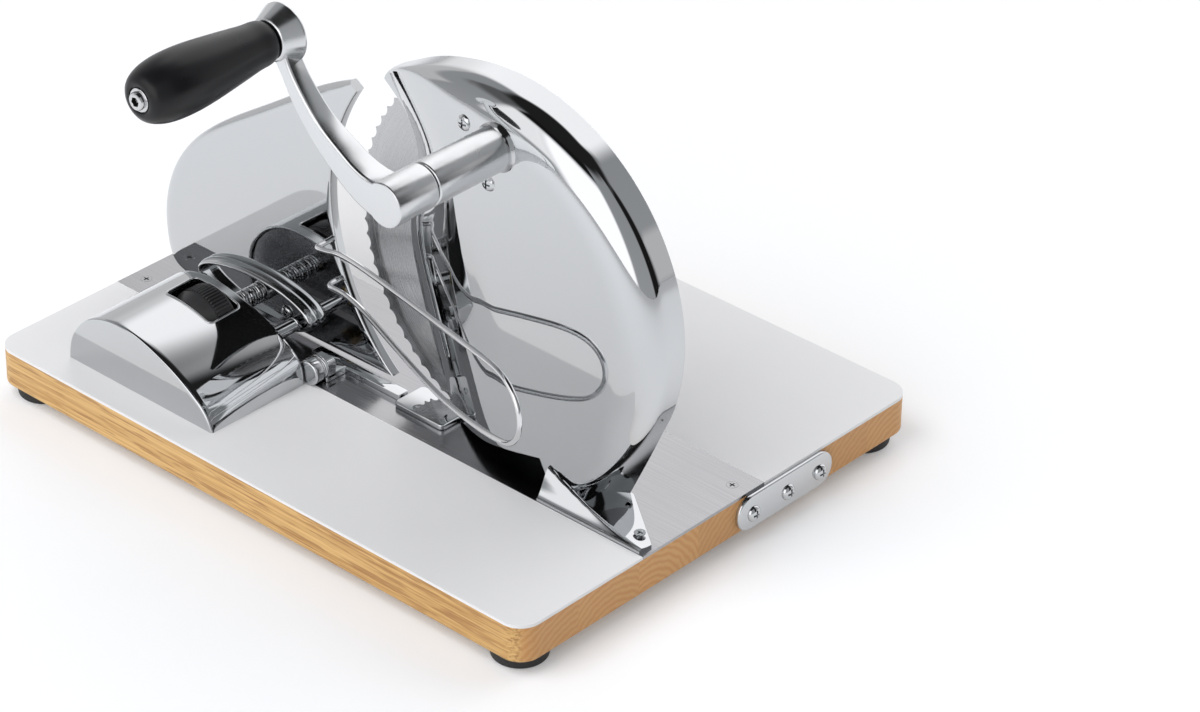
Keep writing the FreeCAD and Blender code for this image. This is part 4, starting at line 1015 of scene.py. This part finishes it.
def make_grip():
    """The turned grip and the bolt that holds it."""
    start = GRIP_NEAR - GRIP_LENGTH
    belly = [(7.6, 0), (9.6, 0.9), (12.2, 4.6), (14.0, 11.0), (14.7, 19.0), (14.6, 27.0),
             (13.8, 37.0), (12.5, 48.0), (11.2, 58.0), (10.4, 65.0), (10.0, 70.0),
             (9.4, GRIP_LENGTH - 1.4), (8.2, GRIP_LENGTH)]
    outline = ([(3.06, 1.2), (5.8, 1.2), (6.0, 1.1), (6.0, 0.15), (6.3, 0.0), (7.3, 0.0)]
               + [tuple(p) for p in smooth_line(belly, 70)]
               + [(7.6, GRIP_LENGTH), (3.06, GRIP_LENGTH)])
    grip = turned("turned_grip", [(r, start + y) for r, y in outline], BOSS_X, BOSS_Z, GRIP,
                  parts=112, closed_profile=True)
    fit(grip, "grip", ["grip"], sharp=40)
    head = start - 2.2
    outline = [(0, start + 0.3), (1.95, start + 0.3), (1.95, head + 0.15), (2.1, head), (3.2, head),
               (3.8, head + 0.25), (4.1, head + 0.9), (4.15, start - 0.15), (5.2, start - 0.1),
               (5.4, start + 0.1), (5.4, start + 0.85), (3.0, start + 0.9), (3.0, GRIP_NEAR + 7),
               (0, GRIP_NEAR + 7)]
    bolt = turned("grip_bolt_head", outline, BOSS_X, BOSS_Z, BOLT_STEEL, parts=64)
    # The socket's walls take the near-black finish, which paints the shade inside the recess.
    turns = [math.radians(60 * n + 12) for n in range(6)]
    socket = [[(BOSS_X + r * math.cos(t), y, BOSS_Z + r * math.sin(t)) for t in turns]
              for r, y in ((2.3, head - 1), (2.3, head + 2.2))]
    fit(hollowed(bolt, swept("bolt_socket", socket, SOCKET_PAINTED_SHADE)), "crank", ["grip_bolt"],
        sharp=28)


# ---------------------------------------------------------------- gauge plate and slice holder

GAUGE_FRONT, GAUGE_BACK = 1.7, 6.7
GAUGE_REAR_EDGE = [(-151.0, 29.1), (-161.0, 32.0), (-166.0, 45.0), (-166.2, 61.0), (-156.4, 89.4),
                   (-131.2, 116.8), (-95.0, 141.8), (-48.0, 171.4), (-36.8, 177.0)]
GAUGE_TIP, GAUGE_MIDDLE = (-31.6, 173.6), (-49.6, 104.0)
GAUGE_TOE, GAUGE_HEEL = (-10.7, 31.2), (-59.0, 31.2)


def arc_through(first, middle, last, count):
    """Points along the round arc through three points."""
    (ax, ay), (bx, by), (cx, cy) = first, middle, last
    double = 2 * (ax * (by - cy) + bx * (cy - ay) + cx * (ay - by))
    a2, b2, c2 = ax * ax + ay * ay, bx * bx + by * by, cx * cx + cy * cy
    x = (a2 * (by - cy) + b2 * (cy - ay) + c2 * (ay - by)) / double
    y = (a2 * (cx - bx) + b2 * (ax - cx) + c2 * (bx - ax)) / double
    start, end = math.atan2(ay - y, ax - x), math.atan2(cy - y, cx - x)
    passing = math.atan2(by - y, bx - x)
    if not min(start, end) < passing < max(start, end):
        if end < start:
            end += 2 * math.pi
        else:
            start += 2 * math.pi
    radius = math.hypot(ax - x, ay - y)
    return np.array([(x + radius * math.cos(t), y + radius * math.sin(t))
                     for t in np.linspace(start, end, count)])


def edge_points(place, inward, inset, y, deep, first, last, count):
    """Points round a plate's eased edge: on the edge at no turn, on the face at a quarter turn."""
    return [(place[0] + inward[0] * inset * (1 - math.cos(turn)), y + deep * (1 - math.sin(turn)),
             place[1] + inward[1] * inset * (1 - math.cos(turn)))
            for turn in np.linspace(first, last, count)]


def make_gauge_plate():
    """The polished plate: softly rounded round its back, thin along the blade."""
    stations, across_rows, quarter = 220, 34, math.pi / 2
    back_edge = np.concatenate([np.linspace(GAUGE_HEEL, GAUGE_REAR_EDGE[0], 90)[:-1],
                                smooth_line(GAUGE_REAR_EDGE, 400)])
    along = way_along(back_edge)
    blade_edge = np.concatenate([np.linspace(GAUGE_HEEL, GAUGE_TOE, 40)[:-1],
                                 arc_through(GAUGE_TOE, GAUGE_MIDDLE, GAUGE_TIP, 400)])
    beside = way_along(blade_edge)
    rings = []
    for share in np.linspace(0.0, 1.0, stations):
        left = np.array([np.interp(share * along[-1], along, back_edge[:, n]) for n in (0, 1)])
        right = np.array([np.interp(share * beside[-1], beside, blade_edge[:, n]) for n in (0, 1)])
        span = right - left
        length = np.linalg.norm(span)
        if length < 0.5:
            span, length = np.array([0.5, 0.02]), 0.5
            right = left + span
        unit = span / length
        thin = min(0.8, 0.3 * length)
        round_in = min(7.5, 0.42 * length) * float(soft_step(np.array(share), 0.10, 0.30))
        round_in = max(round_in, thin)
        round_deep = min(4.2, round_in)
        ring = edge_points(left, unit, round_in, GAUGE_FRONT, round_deep, 0, quarter, 9)
        for step in np.linspace(0, 1, across_rows)[1:-1]:
            place = left + unit * (round_in + (length - round_in - thin) * step)
            ring.append((place[0], GAUGE_FRONT, place[1]))
        ring += edge_points(right, -unit, thin, GAUGE_FRONT, thin, quarter, 0, 5)
        ring += edge_points(right, -unit, 0.6, GAUGE_BACK, -0.6, 0, quarter, 4)
        for step in np.linspace(1, 0, 12)[1:-1]:
            place = left + span * step
            ring.append((place[0], GAUGE_BACK, place[1]))
        ring += edge_points(left, unit, thin, GAUGE_BACK, -0.8, quarter, 0, 4)
        rings.append(ring)
    plate = swept("gauge_face", rings, CHROME)
    fit(plate, "gauge", ["gauge_plate"], sharp=45)


CUP_X, CUP_Z, CUP_HALF_WIDTH, CUP_HALF_HEIGHT, CUP_DEPTH = -98.3, 40.6, 38.9, 12.8, 6.0
SPINDLE_X, SPINDLE_Z, SPINDLE_RADIUS, THREAD_STEP = -93.0, 45.5, 3.6, 1.05
COLLAR_FRONT = GAUGE_FRONT - 5.7
ROD_X, ROD_Z, ROD_RADIUS = -68.0, 39.0, 3.5
STUD_X, STUD_Z = -80.5, 37.0
SPRING_SEAT, SPRING_TURNS, SPRING_RADIUS, SPRING_WIRE = -28.4, 14.0, 4.5, 0.5


def make_cup():
    """The drawn oval cup round the spindle: a round wall with a rolled front lip."""
    front = GAUGE_FRONT - CUP_DEPTH
    profile = [(-1.2, GAUGE_FRONT + 0.6), (-0.9, GAUGE_FRONT - 0.05), (-0.25, GAUGE_FRONT - 0.5),
               (0.0, GAUGE_FRONT - 1.4), (0.0, GAUGE_FRONT - 2.6), (-0.2, front + 2.2),
               (-0.55, front + 1.2), (-0.95, front + 0.55), (-1.35, front + 0.15),
               (-1.8, front + 0.0), (-2.2, front + 0.15), (-2.45, front + 0.6),
               (-2.5, front + 1.4), (-2.3, front + 3.2), (-2.2, GAUGE_FRONT + 0.6)]
    rings = []
    for turn in full_turn(180):
        x, z = CUP_HALF_WIDTH * math.cos(turn), CUP_HALF_HEIGHT * math.sin(turn)
        normal = np.array([x / CUP_HALF_WIDTH ** 2, z / CUP_HALF_HEIGHT ** 2])
        normal /= np.linalg.norm(normal)
        rings.append([(CUP_X + x + normal[0] * out, y, CUP_Z + z + normal[1] * out)
                      for out, y in profile])
    cup = swept("gauge_collar", rings, CUP_STEEL, close_path=True)
    fit(cup, "gauge", ["gauge_cup"], sharp=50)


def make_slice_holder():
    """One wire bent into a long loop, both ends fixed in the gauge plate."""
    run = [(-54.5, 4.6, 85.5), (-54.3, -0.6, 85.7), (-53.2, -4.2, 86.3), (-49.5, -5.6, 87.1),
           (-42.0, -5.6, 88.6), (-30.0, -7.6, 90.9), (-8.0, -13.0, 93.2), (22.0, -20.5, 95.2),
           (52.0, -28.0, 97.0), (82.0, -35.4, 98.6), (94.0, -38.2, 98.2), (103.5, -40.8, 94.9),
           (109.5, -42.4, 88.4), (111.4, -42.9, 80.4), (109.5, -42.4, 72.4), (103.6, -40.8, 65.8),
           (94.2, -38.3, 62.2), (82.0, -35.3, 60.2), (66.0, -31.4, 59.0), (48.0, -27.0, 59.2),
           (24.0, -21.0, 62.4), (2.0, -15.6, 66.6), (-16.0, -11.0, 69.6), (-30.0, -7.6, 70.2),
           (-40.0, -5.6, 69.2), (-44.6, -4.6, 68.4), (-47.2, -2.2, 67.8), (-48.0, 1.0, 67.5),
           (-48.0, 4.6, 67.5)]
    fit(wire("bent_wire", smooth_line(run, 260), 1.35, WIRE_STEEL, sides=20),
        "gauge", ["slice_holder"])


def make_gauge_rods():
    """Spindle with its turned thread, its collar, the guide rod and the plate's screw."""
    start, end = GAUGE_FRONT - 60.0, GAUGE_FRONT + 2.9
    thread = [(0, start), (3.0, start), (SPINDLE_RADIUS, start + 0.6)]
    y = start + 0.6
    while y < GAUGE_FRONT - 8.0:
        thread += [(SPINDLE_RADIUS, y + 0.3), (3.2, y + 0.6), (3.2, y + 0.75),
                   (SPINDLE_RADIUS, y + THREAD_STEP)]
        y += THREAD_STEP
    thread += [(SPINDLE_RADIUS, end), (0, end)]
    fit(turned("threaded_spindle", thread, SPINDLE_X, SPINDLE_Z, MACHINED, parts=48), "gauge",
        ["gauge_spindle"])
    collar = eased([(3.62, COLLAR_FRONT), (5.2, COLLAR_FRONT), (5.2, GAUGE_FRONT - 0.02),
                    (3.62, GAUGE_FRONT - 0.02)], 0.4)
    fit(turned("spindle_ring", collar, SPINDLE_X, SPINDLE_Z, MACHINED, parts=64,
               closed_profile=True),
        "gauge", ["spindle_collar"])
    front, groove = GAUGE_FRONT - 38.0, ROD_RADIUS - 0.2
    rod = [(0, front), (2.9, front), (ROD_RADIUS, front + 0.6), (ROD_RADIUS, GAUGE_FRONT - 9.4),
           (ROD_RADIUS, GAUGE_FRONT - 9.2), (groove, GAUGE_FRONT - 9.0), (groove, GAUGE_FRONT - 8.7),
           (ROD_RADIUS, GAUGE_FRONT - 8.5), (ROD_RADIUS, GAUGE_FRONT + 4.4), (0, GAUGE_FRONT + 4.4)]
    fit(turned("polished_rod", rod, ROD_X, ROD_Z, CHROME, parts=56), "gauge", ["guide_rod"])
    fasteners("stud_screw", (3.6, 2.4, 1.5, 0), CHROME, [(STUD_X, GAUGE_FRONT - 0.01, STUD_Z)],
              FACING_FRONT, "gauge", ["plate_screw"])
    first, last = SPRING_SEAT + 0.55, COLLAR_FRONT - SPRING_WIRE
    spring = COIL.run("coil_spring", {"Turns": SPRING_TURNS, "Radius": SPRING_RADIUS * MM,
                                      "Length": (last - first) * MM, "Wire": SPRING_WIRE * MM,
                                      "Finish": CHROME})
    spring.data.transform(Matrix.Translation((SPINDLE_X * MM, first * MM, SPINDLE_Z * MM))
                          @ Matrix.Rotation(math.radians(-90), 4, "X"))
    weld(spring)
    fit(spring, "base", ["gauge_spring"])
    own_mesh(spring)


# ---------------------------------------------------------------- adjuster housing

HOUSING_FRONT, HOUSING_REAR = -85.5, -27.5
FRONT_ARCH = [(-138.0, 27.0), (-136.4, 36.5), (-130.6, 46.8), (-118.5, 56.0), (-103.5, 59.4),
              (-91.0, 58.4), (-77.0, 54.3), (-66.5, 49.9), (-57.5, 45.0), (-50.0, 39.9),
              (-44.2, 34.0), (-41.0, 27.0)]
REAR_ARCH = [(-138.0, 27.0), (-136.4, 36.8), (-130.4, 47.4), (-118.3, 56.6), (-103.3, 60.2),
             (-90.8, 59.4), (-77.0, 56.6), (-66.0, 53.0), (-56.0, 48.2), (-47.8, 43.4),
             (-42.0, 37.4), (-40.6, 27.0)]
ARCH_STEPS = 150
WINDOW_X, WINDOW_Y, WINDOW_CORNER = (-107.2, -76.6), (-51.5, -32.0), 2.6
WINDOW_MIDDLE = (sum(WINDOW_X) / 2, sum(WINDOW_Y) / 2)
WINDOW_HALF_X, WINDOW_HALF_Y = (WINDOW_X[1] - WINDOW_X[0]) / 2, (WINDOW_Y[1] - WINDOW_Y[0]) / 2
HOUSING_WALL, HOUSING_EASE = 1.5, 1.3
HOUSING_MIDDLE = np.array([-92.0, DECK])
# Depths of the net's rows: close together round the window, wider before it.
HOUSING_ROWS = np.concatenate([np.linspace(HOUSING_REAR, -54.0, 54), np.linspace(-56.0, -83.6, 18)])


def arch_at(y):
    """The housing's section at one depth, from the left foot to the right foot."""
    share = (y - HOUSING_FRONT) / (HOUSING_REAR - HOUSING_FRONT)
    return (smooth_line(FRONT_ARCH, ARCH_STEPS) * (1 - share)
            + smooth_line(REAR_ARCH, ARCH_STEPS) * share)


def arch_height(x, y):
    """How high the housing's outside stands at a place."""
    line = arch_at(y)
    rising = line[np.argsort(line[:, 0])]
    return float(np.interp(x, rising[:, 0], rising[:, 1]))


def window_path(grow, count=7):
    """The window's edge from above, with round corners."""
    corners = rounded_box(WINDOW_HALF_X + grow, WINDOW_HALF_Y + grow, WINDOW_CORNER, count)
    path = []
    for a, b in zip(corners, corners[1:] + corners[:1]):
        steps = max(1, int(math.hypot(b[0] - a[0], b[1] - a[1]) / 1.2))
        for share in np.linspace(0, 1, steps, endpoint=False):
            path.append((WINDOW_MIDDLE[0] + a[0] + (b[0] - a[0]) * share,
                         WINDOW_MIDDLE[1] + a[1] + (b[1] - a[1]) * share))
    return path


def in_window(x, y):
    """Whether a place lies inside the window, seen from above."""
    dx = abs(x - WINDOW_MIDDLE[0]) - (WINDOW_HALF_X - WINDOW_CORNER)
    dy = abs(y - WINDOW_MIDDLE[1]) - (WINDOW_HALF_Y - WINDOW_CORNER)
    return math.hypot(max(dx, 0), max(dy, 0)) < WINDOW_CORNER


def make_housing():
    """The polished cover over the thumb wheel: an arch with a flat front and a rimmed window."""
    rows = [(arch_at(y), y) for y in HOUSING_ROWS]
    away = arch_at(HOUSING_FRONT) - HOUSING_MIDDLE
    reach = np.linalg.norm(away, axis=1)[:, None]
    for turn in np.linspace(0, math.pi / 2, 7):
        ring = HOUSING_MIDDLE + away * (1 - HOUSING_EASE * (1 - math.cos(turn)) / reach)
        rows.append((ring, HOUSING_FRONT + HOUSING_EASE * (1 - math.sin(turn))))
    last = rows[-1][0]
    for share in np.linspace(0, 1, 14)[1:]:
        ring = last.copy()
        ring[:, 1] = last[:, 1] + (DECK - last[:, 1]) * share
        rows.append((ring, HOUSING_FRONT))
    points = [(px, y, max(pz, DECK)) for ring, y in rows for px, pz in ring]
    faces = []
    for face in grid_faces(len(rows), ARCH_STEPS):
        middle = sum((Vector(points[n]) for n in face), Vector()) / 4
        if middle.z <= DECK + 10 or not in_window(middle.x, middle.y):
            faces.append(face)
    cover = mesh_object("housing_cover", points, faces, CHROME)
    weld(cover, closed=False)
    if cover.data.polygons[len(cover.data.polygons) // 3].normal.z < 0:
        cover.data.flip_normals()
    wall = cover.modifiers.new("wall", "SOLIDIFY")
    wall.thickness = HOUSING_WALL * MM
    wall.offset = -1.0
    plain_mesh(cover)
    fit(cover, "base", ["adjuster_housing"], sharp=50)
    rim = [(x, y, arch_height(x, y) - 0.1) for x, y in window_path(0.15)]
    fit(wire("window_rim", rim, 0.6, CHROME, closed=True, sides=12), "base")
    edge = []
    for place in arch_at(HOUSING_REAR):
        if place[1] > DECK + 1.2:
            away = place - HOUSING_MIDDLE
            inner = HOUSING_MIDDLE + away * (1 - HOUSING_WALL / 2 / np.linalg.norm(away))
            edge.append((inner[0], HOUSING_REAR - 0.2, inner[1]))
    fit(wire("housing_edge", edge, 0.85, CHROME, sides=10), "base")


WHEEL_RADIUS, WHEEL_BORE, WHEEL_FRONT, WHEEL_RIBS, RIB_DEPTH = 16.8, 3.66, -52.3, 60, 0.8


def make_wheel():
    """The black thumb wheel: one rib's sector of its turned shape, repeated round."""
    half, root = math.pi / WHEEL_RIBS, WHEEL_RADIUS - RIB_DEPTH
    near = [(WHEEL_BORE, 0), (8, 0), (8, 1.4), (11.8, 1.4), (12.5, 1.9), (14.4, 4.6), (16.0, 7.2),
            (16.5, 8.1)]
    far = [(16.4, 18.6), (15.6, 19.4), (8, 19.4), (8, 20.1), (WHEEL_BORE, 20.1)]
    ring = []
    for turn, lift in ((-half, 0.0), (-half * 0.6, 0.0), (-half * 0.25, RIB_DEPTH),
                       (half * 0.25, RIB_DEPTH), (half * 0.6, 0.0), (half, 0.0)):
        line = near + [(root, 8.9), (root + lift, 9.5), (root + lift, 17.4), (root, 18.0)] + far
        ring.append([(r * math.cos(turn), WHEEL_FRONT + y, r * math.sin(turn)) for r, y in line])
    wheel = ring_of_sectors("ribbed_wheel", ring, WHEEL_RIBS, WHEEL, SPINDLE_X, SPINDLE_Z)
    fit(wheel, "thumb_wheel", ["thumb_wheel"], sharp=28)


def make_rail():
    """The guide rail in front of the gauge plate, its bracket and the turned bolt."""
    for name, x, y, half_x, half_y, high, stands_for in (
            ("rail_bar", -27.0, -4.0, 29.0, 3.0, 3.2, ["guide_rail"]),
            ("rail_bracket", -39.0, -12.5, 5.5, 6.5, 3.6, ())):
        outline = [(x + px, y + py) for px, py in rounded_box(half_x, half_y, 0.8)]
        fit(slab(name, outline, DECK, DECK + high, 0.5, CHROME), "base", stands_for)
    ear = [[(-39.0 + px, y, DECK + 5.5 + pz) for px, pz in rounded_box(5.5 - inset, 5.5 - inset, 2.0)]
           for inset, y in ((0.5, -18.0), (0.0, -17.5), (0.0, -13.1), (0.5, -12.6))]
    fit(swept("rail_ear", ear, CHROME), "base")
    outline = eased([(0, -26.4), (5.7, -26.4), (6.3, -25.8), (6.3, -21.3), (5.2, -20.9),
                     (5.2, -19.9), (6.3, -19.5), (6.3, -18.1), (2, -18.05), (2, -12.95),
                     (0, -12.95)], 0.5)
    fit(turned("turned_bolt", outline, -38.8, DECK + 6.6, CHROME, parts=64), "base",
        ["rail_bolt"])


# ---------------------------------------------------------------- board fittings

STRIP_SCREWS = [(-163.7, -12.5), (-163.7, 46.5), (159.0, 46.5)]
END_PLATE_Y, END_PLATE_Z, END_PLATE_HALF_LENGTH, END_PLATE_RADIUS = 71.5, 16.5, 33.0, 9.0
# How far each ring of the end plate's bevel stands out, and how far it is drawn in.
END_PLATE_SECTION = [(168.0, 0.0), (169.2, 0.0), (169.7, 0.12), (170.05, 0.45), (170.2, 0.95)]
END_SCREWS = [(170.19, 49.0, 15.5), (170.19, 73.0, 15.5), (170.19, 95.5, 15.5)]


def make_board_fittings():
    """Sunk screws in the steel strip, and the bevelled end plate with its three screws."""
    places = [(x, y, DECK + 0.03) for x, y in STRIP_SCREWS]
    fasteners("strip_fixing_screws", (2.8, 0.0, 1.4, 2.4), STRIP_STEEL, places, FACING_UP, "base",
              ["strip_screws"])
    rings = [[(x, END_PLATE_Y + py, END_PLATE_Z + pz)
              for py, pz in rounded_box(END_PLATE_HALF_LENGTH - inset, END_PLATE_RADIUS - inset,
                                        8.95 - inset, 12)]
             for x, inset in END_PLATE_SECTION]
    fit(swept("end_badge", rings, CHROME), "base", ["end_plate"], sharp=40)
    fasteners("end_screws", (4.0, 2.2, 1.6, 0), CHROME, END_SCREWS, FACING_RIGHT, "base",
              ["end_plate_screws"])


# ---------------------------------------------------------------- stage and lights

FLOOR_GLOW = 0.16


def make_floor():
    """A plain pale floor that camera and mirrors see as nearly white."""
    bpy.ops.mesh.primitive_plane_add(size=30, location=(0, 0, 0))
    floor = bpy.context.object
    floor.name = "floor"
    finish = Finish("floor_white", (0.85, 0.86, 0.88), Roughness=0.9)
    path = finish.node("ShaderNodeLightPath")
    seen = finish.math("MAXIMUM", path.outputs["Is Camera Ray"], path.outputs["Is Glossy Ray"])
    seen = finish.math("MAXIMUM", seen, path.outputs["Is Transmission Ray"])
    finish.set(Emission_Color=(1, 1, 1, 1))
    finish.feed("Emission Strength", finish.math("MULTIPLY", seen, FLOOR_GLOW))
    floor.data.materials.append(finish.material)


def area_light(name, place, size, power):
    """A soft lamp that the polished pieces don't mirror."""
    data = bpy.data.lights.new(name, "AREA")
    data.shape = "RECTANGLE"
    data.size, data.size_y = size
    data.energy = power
    light = bpy.data.objects.new(name, data)
    bpy.context.scene.collection.objects.link(light)
    light.location = place
    light.rotation_euler = (Vector(LAMP_AIM) - Vector(place)).to_track_quat("-Z", "Y").to_euler()
    light.visible_glossy = False


# Lowest edge in degrees, softness and brightness.
CEILING = (60.0, 0.08, 0.02)
# Panels of the studio by direction, in degrees from the slicer: from and to round the Z axis,
# from and to in height, softness of the edges, brightness.
PANELS = [
    (141, 205, -4, 28, 0.10, 0.72),
    (-178, -130, 42, 76, 0.14, 0.14),
    (72, 141, 2, 62, 0.16, 1.45),
    (-128, -104, 8, 48, 0.10, 1.30),
    (-104, -48, -6, 47, 0.14, 1.70),
    (10, 38, -4, 52, 0.12, 0.015),
    (14, 70, 50, 78, 0.10, 0.02),
    (38, 60, 0, 20, 0.08, 0.70),
    (-125, -45, 50, 72, 0.06, 0.01),
]
LAMP_AIM = (0, 0.03, 0.08)
# Name, place, size and power.
LAMPS = [("key", (-0.35, -0.9, 1.6), (1.3, 1.3), 19), ("rear", (0.6, 1.4, 1.1), (1.6, 0.8), 8)]


class StudioWorld:
    """A plain room with panels that are given by their direction."""

    def __init__(self):
        world = bpy.data.worlds.new("studio")
        bpy.context.scene.world = world
        world.use_nodes = True
        self.tree = world.node_tree
        self.where = self.tree.nodes.new("ShaderNodeTexCoord").outputs["Generated"]
        self.colour = None

    def node(self, kind, inputs, **settings):
        return add_node(self.tree, kind, inputs, settings)

    def along(self, direction):
        return self.node("ShaderNodeVectorMath", {0: self.where, 1: direction},
                         operation="DOT_PRODUCT").outputs["Value"]

    def beyond(self, value, edge, soft):
        """Nought below an edge, one above it."""
        return self.node("ShaderNodeMapRange", {"Value": value, "From Min": edge - soft / 2,
                                                "From Max": edge + soft / 2},
                         interpolation_type="SMOOTHSTEP").outputs[0]

    def lay(self, share, brightness):
        """Put a brightness over the colour so far, by a share of each direction."""
        mix = self.node("ShaderNodeMix", {0: share, 6: self.colour}, data_type="RGBA")
        mix.inputs[7].default_value = (brightness, brightness, brightness * 1.01, 1)
        self.colour = mix.outputs[2]

    def ceiling(self, edge, soft, brightness):
        """Everything above a height in degrees."""
        self.lay(self.beyond(self.along((0, 0, 1)), math.sin(math.radians(edge)), soft), brightness)

    def product(self, a, b):
        return self.node("ShaderNodeMath", {0: a, 1: b}, operation="MULTIPLY").outputs[0]

    def panel(self, first, last, low, high, soft, brightness):
        """A soft-edged rectangle in the room, between four angles in degrees."""
        first, last = math.radians(first), math.radians(last)
        level = self.along((0, 0, 1))
        below = self.product(level, -1.0)
        edges = (self.beyond(self.along((-math.sin(first), math.cos(first), 0)), 0, soft),
                 self.beyond(self.along((math.sin(last), -math.cos(last), 0)), 0, soft),
                 self.beyond(level, math.sin(math.radians(low)), soft),
                 self.beyond(below, -math.sin(math.radians(high)), soft))
        share = edges[0]
        for edge in edges[1:]:
            share = self.product(share, edge)
        self.lay(share, brightness)

    def finish(self):
        """Show plain white to the camera and the room to everything else."""
        path = self.node("ShaderNodeLightPath", {})
        mix = self.node("ShaderNodeMix", {0: path.outputs["Is Camera Ray"], 6: self.colour},
                        data_type="RGBA")
        mix.inputs[7].default_value = (1, 1, 1, 1)
        self.tree.links.new(mix.outputs[2], self.tree.nodes["Background"].inputs["Color"])


def make_world():
    """A grey room with bright and dark panels."""
    world = StudioWorld()
    level = world.along((0, 0, 1))
    ramp = world.node("ShaderNodeValToRGB", {0: level})
    steps = ramp.color_ramp.elements
    steps[0].position, steps[0].color = 0.0, (0.46, 0.47, 0.48, 1)
    steps[1].position, steps[1].color = 1.0, (0.36, 0.37, 0.38, 1)
    world.colour = ramp.outputs[0]
    for panel in PANELS:
        world.panel(*panel)
    world.ceiling(*CEILING)
    world.finish()


def light_scene():
    """Room, floor and lamps."""
    make_world()
    make_floor()
    for lamp in LAMPS:
        area_light(*lamp)


# ---------------------------------------------------------------- assembly

make_camera()
dress_nodes()
make_guard_shell()
make_nose()
make_oval()
make_case_screws()
make_guard_foot()
make_guard_bosses()
make_blade()
make_crank()
make_grip()
make_gauge_plate()
make_cup()
make_slice_holder()
make_gauge_rods()
make_housing()
make_wheel()
make_rail()
make_board_fittings()
light_scene()

bpy.context.scene.view_settings.view_transform = "Standard"
